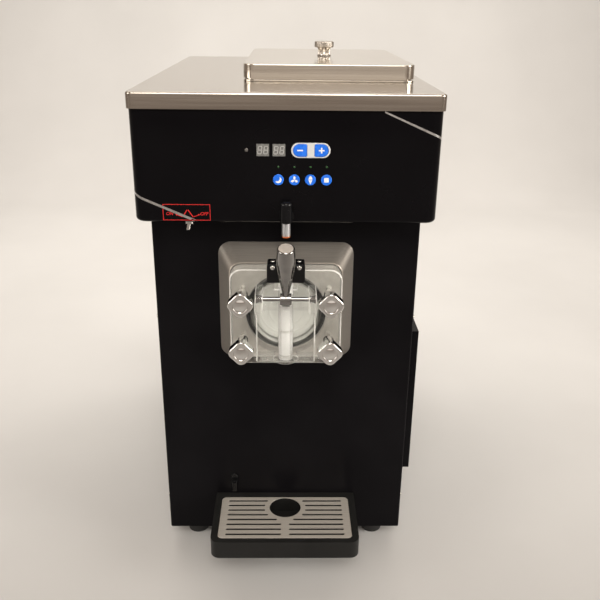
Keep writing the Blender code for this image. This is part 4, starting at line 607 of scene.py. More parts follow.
def door_gasket():
    low, high, middle = extents("door_gasket")
    outer = (high.x - low.x) / 2
    inner = outer - GASKET_WIDTH
    section = (
        (inner, low.y + GASKET_EDGE),
        (inner + GASKET_EDGE, low.y),
        (outer - GASKET_EDGE, low.y),
        (outer, low.y + GASKET_EDGE),
        (outer, high.y),
        (inner, high.y),
    )
    return turned("door_gasket_ring", section, (middle.x, middle.z), "Y", RING_STEPS, closed=True)


gasket_rubber = mottled(
    "gasket_rubber", (0.012, 0.012, 0.012), (0.018, 0.018, 0.018), (0.45, 0.6), patch=90.0
)
dress(door_gasket(), gasket_rubber, "casing", "rubber", "door_gasket")


# Dispensing door: one block of clear acrylic, machined with the valve's bore, the draw port and two
# ears for the handle pin, and polished. Four hand screws clamp it to the flange.

DOOR_CORNER = 16 * MM
DOOR_PLATE = 24 * MM
DOOR_CHAMFER = 1.3 * MM
BLOCK_HALF = 40 * MM
BLOCK_DEPTH = 34 * MM
BLOCK_CORNER = 4 * MM
BLOCK_SPAN = (386 * MM, 462 * MM)
TOWER_HALF = 16 * MM
TOWER_TOP = 488 * MM
EAR_THICK = 10 * MM
EAR_PROUD = 0.5 * MM
EAR_RADIUS = 9 * MM
EAR_DROP = 20 * MM
NOZZLE_RADIUS = 18 * MM
NOZZLE_BOTTOM = 380 * MM
BORE_RADIUS = 10.2 * MM
PORT_RADIUS = 5.5 * MM
PORT_LEVEL = 399.3 * MM
CHAMBER_RADIUS = 46 * MM
CHAMBER_DEPTH = 8 * MM
STUD_HOLE = 4.3 * MM
ARM_SLOT_HALF = 8.1 * MM
FIT = 0.3 * MM
SMALL_CORNER = 0.5 * MM
OVERLAP = 2 * MM
SLOPED = 0.2
FACING = 0.9
CORNER_FACING = 0.4
HOLE_STEPS = 32
HAND_SCREWS = tuple(f"hand_screw_{row}_{side}" for row in ("upper", "lower") for side in ("left", "right"))


def prism(outline, axis, low, high, name="tool"):
    return lofted(name, [lifted(outline, axis, low), lifted(outline, axis, high)])


def drill(radius, centre, axis, low, high, steps=HOLE_STEPS):
    return prism(circle(radius, centre, steps), axis, low, high)


def inset_outline(outline, inset):
    """Draws an outline in towards its middle."""
    ends = [(min(values), max(values)) for values in zip(*outline)]
    middle = [(low + high) / 2 for low, high in ends]
    shrink = [1 - 2 * inset / (high - low) for low, high in ends]
    return [tuple(m + (p - m) * s for p, m, s in zip(point, middle, shrink)) for point in outline]


def combined(piece, operation, tools):
    """Joins tools to a piece or cuts them out of it, and takes them away."""
    for tool in tools:
        change = piece.modifiers.new(operation.lower(), "BOOLEAN")
        change.operation = operation
        change.solver = "MANIFOLD"
        change.object = tool
    graph = bpy.context.evaluated_depsgraph_get()
    mesh = bpy.data.meshes.new_from_object(piece.evaluated_get(graph))
    piece.modifiers.clear()
    piece.data = mesh
    for tool in tools:
        bpy.data.objects.remove(tool)
    mesh.shade_smooth()
    mesh.set_sharp_from_angle(angle=SHARP_ANGLE)
    return piece


def carved(piece, *tools):
    return combined(piece, "DIFFERENCE", tools)


def joined(piece, *tools):
    return combined(piece, "UNION", tools)


acrylic = mottled(
    "clear_acrylic", (0.90, 0.94, 0.92), (0.94, 0.97, 0.95), (0.02, 0.05), patch=25.0, relief=0.001 * MM
)
clear_shader = acrylic.node_tree.nodes["Principled BSDF"]
clear_shader.inputs["Alpha"].default_value = 0.26
clear_shader.inputs["Transmission Weight"].default_value = 1.0
clear_shader.inputs["IOR"].default_value = 1.49
# Matt white for the door's chamfers and corners: partly a cutter's frost, partly a painted highlight along
# the edges.
frost_and_edge_highlight = mottled(
    "frosted_acrylic_edge_painted_highlight", (0.78, 0.78, 0.75), (0.88, 0.88, 0.85), (0.3, 0.42), patch=40.0
)
frost_and_edge_highlight.node_tree.nodes["Principled BSDF"].inputs["Alpha"].default_value = 0.7


def two_finishes(piece, main, second, chosen):
    """Gives a piece its main finish, and the chosen faces a second one."""
    piece.data.materials.append(main)
    piece.data.materials.append(second)
    for face in piece.data.polygons:
        if chosen(face.normal):
            face.material_index = 1
    return piece


def clear_block(outline, axis, low, high, name="tool"):
    """A block of acrylic whose chamfered ends are matt white: partly a cutter's frost, partly a painted
    highlight along its edges.
    """
    narrow = inset_outline(outline, DOOR_CHAMFER)
    rings = [
        lifted(narrow, axis, low),
        lifted(outline, axis, low + DOOR_CHAMFER),
        lifted(outline, axis, high - DOOR_CHAMFER),
        lifted(narrow, axis, high),
    ]
    along = "XYZ".index(axis)
    return two_finishes(lofted(name, rings), acrylic, frost_and_edge_highlight, lambda way: SLOPED < abs(way[along]) < FACING)


def dispensing_door():
    low, high, middle = extents("dispensing_door")
    pin = extents("handle_pin")[2]
    valve = (0.0, extents("plunger")[2].y)
    axis = (0.0, middle.z)
    face = high.y
    front = face - DOOR_PLATE
    into = front + OVERLAP
    past = face + OVERLAP
    door = clear_block(box_outline(low, high, "xz", DOOR_CORNER), "Y", front, face, "clear_door")
    plan = rounded((-BLOCK_HALF, BLOCK_HALF), (front - BLOCK_DEPTH, into + BLOCK_CORNER), BLOCK_CORNER)
    block = clear_block(plan, "Z", *BLOCK_SPAN)
    # The block's top chamfers stay clear, and its front vertical corners turn matt white: a painted highlight
    # along those edges.
    for side in block.data.polygons:
        if side.normal.z > SLOPED:
            side.material_index = 0
        elif side.normal.y < -CORNER_FACING and abs(side.normal.x) > CORNER_FACING:
            side.material_index = 1
    tower_front = valve[1] - BORE_RADIUS - OVERLAP
    plan = rounded((-TOWER_HALF, TOWER_HALF), (tower_front, into + OVERLAP), OVERLAP)
    tower = clear_block(plan, "Z", BLOCK_SPAN[1] - OVERLAP, TOWER_TOP)
    nozzle = clear_block(circle(NOZZLE_RADIUS, valve), "Z", NOZZLE_BOTTOM, BLOCK_SPAN[0] + OVERLAP)
    ear_y = (pin.y - EAR_RADIUS, into + 2 * OVERLAP)
    ear = rounded(ear_y, (pin.z - EAR_DROP, pin.z + EAR_RADIUS), EAR_RADIUS)
    ears = []
    for sign in (-1, 1):
        span = sorted((sign * (BLOCK_HALF - EAR_THICK), sign * (BLOCK_HALF + EAR_PROUD)))
        ears.append(clear_block(ear, "X", *span))
    joined(door, block, tower, nozzle, *ears)
    chamber = drill(CHAMBER_RADIUS, axis, "Y", face - CHAMBER_DEPTH, past, RING_STEPS)
    two_finishes(chamber, acrylic, frost_and_edge_highlight, lambda way: abs(way.y) < SLOPED)
    gasket_low, gasket_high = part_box("door_gasket")
    groove_out = gasket_high.x + FIT
    groove_in = groove_out - GASKET_WIDTH - 2 * FIT
    deep = gasket_low.y - FIT
    section = ((groove_in, deep), (groove_out, deep), (groove_out, past), (groove_in, past))
    groove = turned("tool", section, axis, "Y", RING_STEPS, closed=True)
    bore = drill(BORE_RADIUS, valve, "Z", NOZZLE_BOTTOM - OVERLAP, TOWER_TOP + OVERLAP, 64)
    port = drill(PORT_RADIUS, (0.0, PORT_LEVEL), "Y", valve[1], face - CHAMBER_DEPTH / 2)
    arm_y = (tower_front - OVERLAP, valve[1])
    slot = rounded((-ARM_SLOT_HALF, ARM_SLOT_HALF), arm_y, SMALL_CORNER)
    tools = [chamber, groove, bore, port, prism(slot, "Z", BLOCK_SPAN[1] + FIT, TOWER_TOP + OVERLAP)]
    for node in HAND_SCREWS:
        stud = extents(node)[2]
        tools.append(drill(STUD_HOLE, (stud.x, stud.z), "Y", front - OVERLAP, past, 24))
    cap_low, cap_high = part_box("pin_cap_left")
    cap_radius = (cap_high.z - cap_low.z) / 2 + FIT
    for sign in (-1, 1):
        span = sorted((sign * (BLOCK_HALF - EAR_THICK - OVERLAP), sign * (BLOCK_HALF + OVERLAP)))
        tools.append(drill(cap_radius, (pin.y, pin.z), "X", *span))
    return carved(door, *tools)


dress(dispensing_door(), None, "casing", "clear_acrylic", "dispensing_door")


# Draw valve: a white acetal plunger with two clear silicone rings slides in the door's bore. A black
# moulded head is screwed on top of it, and rises towards the sensor when the valve opens.

PLUNGER_EDGE = 0.8 * MM
PLUNGER_SPIGOT = 6 * MM
SEAL_GROOVE = 1.6 * MM
SEALS = ("plunger_seal_lower", "plunger_seal_upper")
POCKET_HALF = 5.3 * MM
POCKET_BACK = 5 * MM
POCKET_SPAN = (461.9 * MM, 471.9 * MM)
HEAD_CORNER = 3 * MM
HEAD_EDGE = 1.6 * MM
HEAD_SCREW_RADIUS = 3.1 * MM
HEAD_SCREW_RISE = 1.3 * MM
HEAD_SCREW_X = 17.5 * MM
HEAD_SCREW_DROP = 4.6 * MM
HEAD_SCREW_BACK = 9 * MM

valve_white = mottled(
    "valve_white_acetal", (0.84, 0.845, 0.83), (0.89, 0.895, 0.88), (0.28, 0.36), patch=70.0, specular=0.45
)


def plunger():
    low, high, middle = extents("plunger")
    radius = (high.x - low.x) / 2
    groove = radius - SEAL_GROOVE
    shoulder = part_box("plunger_head")[0].z - FIT
    profile = fillet(radius, low.z, PLUNGER_EDGE, up=False)
    for seal in SEALS:
        seal_low, seal_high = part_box(seal)
        bottom = seal_low.z - FIT
        top = seal_high.z + FIT
        profile += [(radius, bottom), (groove, bottom), (groove, top), (radius, top)]
    profile += fillet(radius, shoulder, PLUNGER_EDGE)
    profile += [(PLUNGER_SPIGOT, shoulder), (PLUNGER_SPIGOT, high.z)]
    stem = turned("white_plunger", profile, (middle.x, middle.y))
    pocket_y = (low.y - OVERLAP, middle.y + POCKET_BACK)
    pocket = rounded((-POCKET_HALF, POCKET_HALF), pocket_y, SMALL_CORNER)
    return carved(stem, prism(pocket, "Z", *POCKET_SPAN))


dress(plunger(), valve_white, "plunger", "white_plastic", "plunger")

seal_silicone = mottled("seal_silicone", (0.55, 0.55, 0.52), (0.66, 0.66, 0.62), (0.3, 0.4), patch=120.0)
for node in SEALS:
    low, high, middle = extents(node)
    thick = (high.z - low.z) / 2
    section = circle(thick, ((high.x - low.x) / 2 - thick, middle.z), 12)
    ring = turned(f"ring_{node}", section, (middle.x, middle.y), closed=True)
    dress(ring, seal_silicone, "plunger", "seal_silicone", node)


def plunger_head():
    low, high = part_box("plunger_head")
    head = prism(box_outline(low, high, "xz", HEAD_CORNER), "Y", low.y, high.y, "black_plunger_head")
    stem_high, stem = extents("plunger")[1:]
    carved(head, drill(PLUNGER_SPIGOT + FIT, (0.0, stem.y), "Z", low.z - OVERLAP, stem_high.z + FIT))
    soft_edges(head, HEAD_EDGE, segments=4, angle=50)
    return head


head_plastic = mottled(
    "valve_head_plastic",
    (0.004, 0.004, 0.0045),
    (0.007, 0.007, 0.0075),
    (0.16, 0.24),
    patch=60.0,
    specular=0.25,
)
dress(plunger_head(), head_plastic, "plunger", "black_plastic", "plunger_head")
head_low, head_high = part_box("plunger_head")
for side, x in (("left", -HEAD_SCREW_X), ("right", HEAD_SCREW_X)):
    top_base = (x, head_high.y - HEAD_SCREW_BACK, head_high.z)
    front_base = (x, head_low.y, head_high.z - HEAD_SCREW_DROP)
    for row, base, out in (("top", top_base, (0, 0, 1)), ("front", front_base, (0, -1, 0))):
        screw = dome(f"head_screw_{row}_{side}", HEAD_SCREW_RADIUS, HEAD_SCREW_RISE, base, out)
        dress(screw, bright_steel, "plunger", "satin_steel")


# Draw handle: a chromed club-shaped lever on a cross pin. Its short arm reaches into the plunger,
# and pulling the club forward lifts the plunger. The pin is held in the ears by two flared caps.

HANDLE_TILT = math.radians(22.72)
HANDLE_LENGTH = 88 * MM
HANDLE_NECK = 4.6 * MM
HANDLE_RADIUS = 12.3 * MM
HANDLE_SHOULDER = 16 * MM
HANDLE_SWELL = 1.25
HANDLE_END = 11.2 * MM
HANDLE_ROUND = 3 * MM
HANDLE_STEPS = 24
EYE_RADIUS = 8 * MM
EYE_HALF = 7.5 * MM
EYE_EDGE = 1.2 * MM
ARM_DROP = math.radians(32)
ARM_LENGTH = 20 * MM
ARM_NECK = 2.2 * MM
ARM_TIP = 4 * MM
ARM_HALF = 5 * MM
PIN_EDGE = 0.5 * MM
PIN_STEPS = 48
CAP_SHARES = (0.0, 0.06, 0.14, 0.28, 0.55, 0.78, 0.82, 1.0)
CAP_FLARE = (0.86, 0.97, 1.0, 0.98, 0.78, 0.72, 0.88, 0.88)


def chromed(name, dark, light, gloss):
    return mottled(name, dark, light, gloss, patch=60.0, grain=1500.0, relief=0.0015 * MM, metallic=1.0)


# The handle, its pin and its caps share a chrome whose colour is painted far darker than the polished chrome.
# This is painted shade, a painted reflection of dark surroundings.
shade_darkened_chrome = chromed("shade_darkened_chrome", (0.24, 0.235, 0.23), (0.31, 0.30, 0.29), (0.05, 0.09))
# The club's end face is a pale satin finish. It is partly a turned end and partly a painted highlight,
# lighter than the painted-dark chrome beside it.
satin_end_and_highlight = mottled(
    "satin_handle_end_painted_highlight", (0.62, 0.57, 0.51), (0.72, 0.66, 0.59), (0.42, 0.5), patch=120.0, metallic=1.0
)


def draw_handle():
    pin_low, pin_high, pin = extents("handle_pin")
    axis = (pin.y, pin.z)
    profile = [(HANDLE_NECK, 0.0), (HANDLE_NECK, EYE_RADIUS)]
    rise = HANDLE_LENGTH - HANDLE_SHOULDER - EYE_RADIUS
    for step in range(1, HANDLE_STEPS + 1):
        share = step / HANDLE_STEPS
        swell = math.sin(math.pi / 2 * share) ** HANDLE_SWELL
        profile.append((HANDLE_NECK + (HANDLE_RADIUS - HANDLE_NECK) * swell, EYE_RADIUS + rise * share))
    profile += fillet(HANDLE_END, HANDLE_LENGTH, HANDLE_ROUND, steps=8)
    club = turned("chrome_draw_handle", profile, (0.0, 0.0))
    # The end faces take the pale finish, which is a painted highlight on the club's end.
    two_finishes(club, shade_darkened_chrome, satin_end_and_highlight, lambda way: way.z > FACING)
    club.data.transform(Matrix.Translation((0, *axis)) @ Matrix.Rotation(HANDLE_TILT, 4, "X"))
    eye_profile = fillet(EYE_RADIUS, -EYE_HALF, EYE_EDGE, up=False) + fillet(EYE_RADIUS, EYE_HALF, EYE_EDGE)
    eye = turned("tool", eye_profile, axis, "X")
    turn = Matrix.Rotation(-ARM_DROP, 2)
    corners = ((0, -ARM_NECK), (ARM_LENGTH, -ARM_NECK), (ARM_LENGTH, ARM_NECK), (0, ARM_NECK))
    outline = [tuple(turn @ Vector(corner) + Vector(axis)) for corner in corners]
    arm = prism(outline, "X", -ARM_HALF, ARM_HALF)
    end = turn @ Vector((ARM_LENGTH, 0)) + Vector(axis)
    tip = drill(ARM_TIP, end, "X", FIT - ARM_HALF, ARM_HALF - FIT)
    joined(club, eye, arm, tip)
    bore_radius = (pin_high.z - pin_low.z) / 2 + FIT
    return carved(club, drill(bore_radius, axis, "X", -2 * EYE_HALF, 2 * EYE_HALF))


dress(draw_handle(), None, "draw_handle", "chrome", "draw_handle")


def handle_pin():
    low, high, middle = extents("handle_pin")
    radius = (high.z - low.z) / 2
    profile = fillet(radius, low.x, PIN_EDGE, up=False) + fillet(radius, high.x, PIN_EDGE)
    return turned("chrome_handle_pin", profile, (middle.y, middle.z), "X", PIN_STEPS)


dress(handle_pin(), shade_darkened_chrome, "casing", "chrome", "handle_pin")
for node in ("pin_cap_left", "pin_cap_right"):
    low, high, middle = extents(node)
    radius = (high.z - low.z) / 2
    outer, inner = (low.x, high.x) if middle.x < 0 else (high.x, low.x)
    profile = [(radius * wide, outer + (inner - outer) * share) for share, wide in zip(CAP_SHARES, CAP_FLARE)]
    cap = turned(f"chrome_{node}", profile, (middle.y, middle.z), "X", PIN_STEPS)
    dress(cap, shade_darkened_chrome, "casing", "chrome", node)


# Hand screws: chromed die-cast nuts with four soft lobes and a dished face, run onto the studs
# by hand to clamp the door.

SCREW_RADIUS = 15.6 * MM
SCREW_LOBE = 1.3 * MM
SCREW_LOBES = 4
SCREW_HEAD = 15 * MM
SCREW_NECK = 8 * MM
SCREW_EDGE = 2.2 * MM
SCREW_DISH = 9.8 * MM
SCREW_DISH_DEPTH = 2.8 * MM
SCREW_DISH_RAMP = 1.2 * MM
SCREW_CROWN = 1.5 * MM
SCREW_CROWN_STEPS = 6
SCREW_LIP = 0.3 * MM
SCREW_LIP_INNER = 0.4 * MM
SCREW_LIP_OUTER = 1.0 * MM
SCREW_STEPS = 96
THREAD_START = 8.7 * MM

chrome = chromed("polished_chrome", (0.74, 0.735, 0.72), (0.82, 0.815, 0.80), (0.035, 0.07))


def waved(radius, wave, count, centre, steps):
    """A circle whose radius swells and shrinks a number of times in a turn."""
    points = []
    for i in range(steps):
        angle = 2 * math.pi * i / steps
        reach = radius + wave * math.cos(count * angle)
        points.append((centre[0] + reach * math.cos(angle), centre[1] + reach * math.sin(angle)))
    return points


def hand_screw(node):
    low, high, middle = extents(node)
    centre = (middle.x, middle.z)
    front = low.y
    back = front + SCREW_HEAD
    floor = front + SCREW_DISH_DEPTH
    crown = SCREW_DISH - SCREW_DISH_RAMP
    rows = [(crown * TIP_SHARE, 0.0, floor - SCREW_CROWN)]
    for step in range(1, SCREW_CROWN_STEPS + 1):
        share = step / SCREW_CROWN_STEPS
        rows.append((crown * share, 0.0, floor - SCREW_CROWN * (1 - share**2)))
    rows += [
        (SCREW_DISH, 0.0, floor - SCREW_LIP),
        (SCREW_DISH + SCREW_LIP_INNER, 0.1, front + SCREW_LIP),
        (SCREW_DISH + SCREW_LIP_OUTER, 0.2, front),
    ]
    rows += [(SCREW_RADIUS - down, 1.0, front + inward) for inward, down in rounding(SCREW_EDGE, 5)]
    rows += [(SCREW_RADIUS - inward, 1.0, back - down) for inward, down in rounding(SCREW_EDGE, 5)]
    rows += [(SCREW_NECK, 0.0, back), (SCREW_NECK, 0.0, high.y)]
    rings = []
    for radius, lobe, y in rows:
        rings.append(lifted(waved(radius, lobe * SCREW_LOBE, SCREW_LOBES, centre, SCREW_STEPS), "Y", y))
    screw = lofted(f"chrome_{node}", rings)
    return carved(screw, drill(STUD_HOLE, centre, "Y", front + THREAD_START, high.y + OVERLAP, 24))


for node in HAND_SCREWS:
    dress(hand_screw(node), chrome, node, "chrome", node)


# Draw sensor: a threaded steel barrel with an orange sensing face, pushed into a glossy black holder
# on the fascia. It sees the plunger's head rise and starts the beater.

THREAD_PITCH = 1.0 * MM
THREAD_DEPTH = 0.16 * MM
SENSOR_FACE = 2.2 * MM
SENSOR_EDGE = 0.5 * MM
HOLDER_EDGE = 0.6 * MM
HOLDER_DOME = 0.6
HOLDER_PAD = 4.5 * MM
HOLDER_PAD_RISE = 1 * MM


def sensor_holder():
    low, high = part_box("sensor_holder")
    barrel_low, barrel_high, middle = extents("sensor_barrel")
    centre = (middle.x, middle.y)
    radius = (high.x - low.x) / 2
    profile = fillet(radius, low.z, HOLDER_EDGE, up=False)
    profile += fillet(radius, high.z, radius * HOLDER_DOME, steps=8)
    holder = turned("gloss_sensor_holder", profile, centre, steps=PIN_STEPS)
    pad = rounded((-HOLDER_PAD, HOLDER_PAD), (middle.y, high.y), SMALL_CORNER)
    joined(holder, prism(pad, "Z", low.z + HOLDER_PAD_RISE, high.z - radius))
    bore = (barrel_high.x - barrel_low.x) / 2 + FIT
    return carved(holder, drill(bore, centre, "Z", low.z - OVERLAP, barrel_high.z + FIT, PIN_STEPS))


holder_plastic = mottled(
    "holder_gloss_plastic",
    (0.004, 0.004, 0.005),
    (0.007, 0.007, 0.008),
    (0.04, 0.07),
    patch=60.0,
    specular=0.22,
)
dress(sensor_holder(), holder_plastic, "casing", "black_plastic", "sensor_holder")

low, high, middle = extents("sensor_barrel")
centre = (middle.x, middle.y)
radius = (high.x - low.x) / 2
start = low.z + SENSOR_FACE
profile = []
for i in range(int((high.z - start) / THREAD_PITCH)):
    profile.append((radius, start + i * THREAD_PITCH))
    profile.append((radius - THREAD_DEPTH, start + (i + 0.5) * THREAD_PITCH))
profile.append((radius, high.z))
barrel = turned("sensor_thread", profile, centre, steps=PIN_STEPS)
barrel_steel = mottled(
    "sensor_barrel_steel", (0.34, 0.34, 0.35), (0.42, 0.42, 0.43), (0.46, 0.56), patch=200.0, metallic=1.0
)
dress(barrel, barrel_steel, "casing", "satin_steel", "sensor_barrel")
face_radius = radius - SENSOR_EDGE
profile = fillet(face_radius, low.z, SENSOR_EDGE, up=False) + [(face_radius, start)]
sensor_face = turned("sensor_face", profile, centre, steps=PIN_STEPS)
sensor_orange = mottled("sensor_orange", (0.55, 0.10, 0.012), (0.65, 0.14, 0.02), (0.35, 0.45), patch=200.0)
dress(sensor_face, sensor_orange, "casing", "satin_steel")


# Fascia: one injection-moulded shell in gloss black with round front corners, hooked under the top
# cover. Two silver stripes run across its corners, and a red-lined field marks the power switch.

FASCIA_CORNER = 16 * MM
FASCIA_EDGE = 5 * MM
FASCIA_WALL = 3 * MM
FRONT_STEPS = 12
EDGE_STEPS = 6
KEY_CORNER = 2 * MM
KEYS = ("minus_key", "plus_key", "standby_key", "wash_key", "auto_key", "stop_key")
DISPLAYS = ("display_left", "display_right")
BUSHING_HOLE = 5.9 * MM
STRIPE_PROUD = 0.12 * MM
STRIPE_WIDTH = 3.4 * MM
STRIPE_SLOPE = 0.43
STRIPE_STEPS = 40
RIGHT_STRIPE = (124 * MM, 212 * MM, 712.4 * MM, 2.2 * MM, STRIPE_WIDTH)
LEFT_STRIPE = (-212 * MM, -117 * MM, 609 * MM, STRIPE_WIDTH, 3.6 * MM)

gloss_black = mottled(
    "gloss_black_moulding",
    (0.0022, 0.0020, 0.0026),
    (0.0038, 0.0034, 0.0042),
    (0.06, 0.11),
    patch=7.0,
    grain=500.0,
    relief=0.002 * MM,
    specular=0.12,
)


def front_rounded(half, front, back, radius):
    """A plan outline with its two front corners round."""
    points = [(half, back), (-half, back)]
    points += arc((radius - half, front + radius), radius, 180, 90, FRONT_STEPS)
    return points + arc((half - radius, front + radius), radius, 270, 90, FRONT_STEPS)


def key_outline(node, grow=0.0):
    """The outline of a key as (x, z) points: round, or D-shaped for the two step keys."""
    low, high, middle = extents(node)
    half = (high.z - low.z) / 2 + grow
    if node not in ("minus_key", "plus_key"):
        return circle(half, (middle.x, middle.z))
    small = KEY_CORNER + grow
    inner = high.x - low.x + 2 * grow - small
    points = arc((half, middle.z), half, 90, 180, 24)
    points += arc((inner, middle.z - half + small), small, 270, 90, 8)
    points += arc((inner, middle.z + half - small), small, 0, 90, 8)
    if node == "minus_key":
        return [(low.x - grow + x, z) for x, z in points]
    return [(high.x + grow - x, z) for x, z in points]


def fascia():
    low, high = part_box("fascia")
    half = high.x
    rings = []
    for rise, inset in rounding(FASCIA_EDGE, EDGE_STEPS):
        plan = front_rounded(half - inset, low.y + inset, high.y, FASCIA_CORNER - inset)
        rings.append(lifted(plan, "Z", low.z + rise))
    rings.append(lifted(front_rounded(half, low.y, high.y, FASCIA_CORNER), "Z", high.z))
    shell = lofted("gloss_fascia", rings)
    inside = low.y + FASCIA_WALL
    hollow = front_rounded(half - FASCIA_WALL, inside, high.y + OVERLAP, FASCIA_CORNER - FASCIA_WALL)
    room = panel_high.x + FIT
    body = rounded((-room, room), (panel_low.y - FIT, high.y + 2 * OVERLAP), SMALL_CORNER)
    tools = [
        prism(hollow, "Z", low.z + FASCIA_WALL, high.z + OVERLAP),
        prism(body, "Z", low.z - OVERLAP, high.z + 2 * OVERLAP),
    ]
    openings = [key_outline(node, FIT) for node in KEYS]
    openings += [box_outline(*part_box(node), "xz", SMALL_CORNER, FIT) for node in DISPLAYS]
    tools += [prism(outline, "Y", low.y - OVERLAP, inside + OVERLAP) for outline in openings]
    toggle = extents("power_switch_body")[2]
    tools.append(drill(BUSHING_HOLE, (toggle.x, toggle.y), "Z", low.z - OVERLAP, low.z + 3 * OVERLAP))
    return carved(shell, *tools)


dress(fascia(), gloss_black, "casing", "gloss_black", "fascia")
fascia_low, fascia_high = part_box("fascia")


def on_fascia(along, level):
    """The point of the fascia's skin at a level, and a distance from its middle round the corner."""
    sunk = 0.0
    below = fascia_low.z + FASCIA_EDGE - level
    if below > 0:
        sunk = FASCIA_EDGE - math.sqrt(max(FASCIA_EDGE**2 - below**2, 0.0))
    flat = fascia_high.x - FASCIA_CORNER
    sign = 1 if along > 0 else -1
    reach = abs(along)
    proud = FASCIA_CORNER + STRIPE_PROUD - sunk
    bend = FASCIA_CORNER * math.pi / 2
    middle = fascia_low.y + FASCIA_CORNER
    if reach <= flat:
        return (along, middle - proud, level)
    if reach <= flat + bend:
        angle = (reach - flat) / FASCIA_CORNER
        return (sign * (flat + proud * math.sin(angle)), middle - proud * math.cos(angle), level)
    return (sign * (flat + proud), middle + reach - flat - bend, level)


def stripe(name, start, end, start_level, start_width, end_width):
    """A thin foil band on the fascia, from one distance along its skin to another."""
    rows = []
    for step in range(STRIPE_STEPS + 1):
        share = step / STRIPE_STEPS
        along = start + (end - start) * share
        level = start_level - STRIPE_SLOPE * (along - start)
        half = (start_width + (end_width - start_width) * share) / 2
        sides = (max(level + side, fascia_low.z + STRIPE_PROUD) for side in (-half, half))
        rows.append([on_fascia(along, side) for side in sides])
    return ribbon(name, rows)


silver_foil = mottled(
    "silver_foil", (0.62, 0.62, 0.62), (0.74, 0.74, 0.74), (0.22, 0.32), patch=90.0, metallic=1.0
)
for name, course in (("right_stripe", RIGHT_STRIPE), ("left_stripe", LEFT_STRIPE)):
    dress(stripe(name, *course), silver_foil, "casing", "satin_steel")


# Power switch: a metal bat toggle in a threaded bushing under the fascia, beside its red-lined
# ON and OFF field on the front.

LABEL_X = (-162.7 * MM, -100 * MM)
LABEL_Z = (569.9 * MM, 591.8 * MM)
LABEL_LINE = 0.9 * MM
PRINT_PROUD = 0.1 * MM
TEXT_SIZE = 6 * MM
TEXT_BOLD = 0.12 * MM
TEXT_SHEAR = 0.25
TEXT_LEVEL = 577 * MM
WORDS = (("on_word", "ON", -154 * MM), ("off_word", "OFF", -108.6 * MM))
MARK_TOP = (0.6 * MM, 7.6 * MM)
MARK_LEG = (7 * MM, 9.6 * MM)
MARK_RISE = 2.6 * MM
MARK_ARROW = ((2.4 * MM, 1.2 * MM), (-0.6 * MM, 1.5 * MM), (0.6 * MM, -1.3 * MM))
LEVER_BALL = 4.2 * MM
LEVER_BALL_ARC = (-88, 133)
LEVER_STEPS = 8
LEVER_LENGTH = 13.5 * MM
LEVER_LEAN = math.radians(10)
LEVER_TAPER = ((2.7, 1.0), (2.4, 0.4), (1.6, 0.1), (0.1, 0.0))
LEVER_NECK = 2.2 * MM
SWITCH_EDGE = 0.3 * MM

print_red = mottled("print_red", (0.50, 0.012, 0.012), (0.60, 0.02, 0.018), (0.3, 0.4), patch=120.0)


def printed(name, outlines, y):
    """Flat printed shapes at a depth, from (x, z) outlines, each turned to face the front."""
    shape = bmesh.new()
    for outline in outlines:
        shape.faces.new([shape.verts.new((a, y, b)) for a, b in outline])
    made = mesh_object(name, shape)
    for face in [face for face in made.data.polygons if face.normal.y > 0]:
        face.flip()
    return made


def line(start, end, width):
    """The outline of a straight stroke."""
    first = Vector(start)
    last = Vector(end)
    way = (last - first).normalized() * width / 2
    side = Vector((-way.y, way.x))
    return [tuple(point) for point in (first - side, last - side, last + side, first + side)]


def box_strokes(x, z, width):
    inset = width / 2
    strokes = [line((x[0], level), (x[1], level), width) for level in (z[0] + inset, z[1] - inset)]
    for across in (x[0] + inset, x[1] - inset):
        strokes.append(line((across, z[0] + width), (across, z[1] - width), width))
    return strokes


label_y = fascia_low.y - PRINT_PROUD
switch = extents("power_switch_body")[2]
strokes = box_strokes(LABEL_X, LABEL_Z, LABEL_LINE)
for sign in (-1, 1):
    top = (switch.x + sign * MARK_TOP[0], LABEL_Z[1] - MARK_TOP[1])
    foot = (switch.x + sign * MARK_LEG[0], top[1] - MARK_LEG[1])
    tip = (foot[0] + sign * MARK_LEG[0], foot[1] + MARK_RISE)
    strokes.append(line(top, foot, 1.5 * LABEL_LINE))
    strokes.append(line(foot, tip, LABEL_LINE))
    strokes.append([(tip[0] + sign * x, tip[1] + z) for x, z in MARK_ARROW])
dress(printed("power_field", strokes, label_y), print_red, "casing", "gloss_black")


def lettering(name, word, x):
    text = bpy.data.curves.new(name, "FONT")
    text.body = word
    text.size = TEXT_SIZE
    text.align_x = "CENTER"
    text.offset = TEXT_BOLD
    text.shear = TEXT_SHEAR
    drawn = bpy.data.objects.new(f"{name}_curve", text)
    scene.collection.objects.link(drawn)
    graph = bpy.context.evaluated_depsgraph_get()
    mesh = bpy.data.meshes.new_from_object(drawn.evaluated_get(graph))
    mesh.transform(Matrix.Translation((x, label_y, TEXT_LEVEL)) @ Matrix.Rotation(math.pi / 2, 4, "X"))
    bpy.data.objects.remove(drawn)
    made = bpy.data.objects.new(name, mesh)
    scene.collection.objects.link(made)
    return made


for name, word, x in WORDS:
    dress(lettering(name, word, x), print_red, "casing", "gloss_black")

keep_node("power_switch_body", bright_steel, SWITCH_EDGE)


def toggle_lever():
    profile = [(x, -z) for x, z in arc((0.0, 0.0), LEVER_BALL, *LEVER_BALL_ARC, LEVER_STEPS)]
    profile.append((LEVER_NECK, -LEVER_BALL))
    profile += [(radius * MM, rise * MM - LEVER_LENGTH) for radius, rise in LEVER_TAPER]
    lever = turned("chrome_toggle_lever", profile, (0.0, 0.0), steps=HOLE_STEPS)
    pivot = (switch.x, switch.y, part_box("power_switch_body")[0].z + LEVER_BALL)
    lever.data.transform(Matrix.Translation(pivot) @ Matrix.Rotation(LEVER_LEAN, 4, "Y"))
    return lever


dress(toggle_lever(), chrome, "power_lever", "chrome", "power_switch_lever")


# Controls: two grey display modules, a white pill round the two blue step keys, and four round blue
# mode keys with small lamps above, all carried by a circuit board behind the fascia.

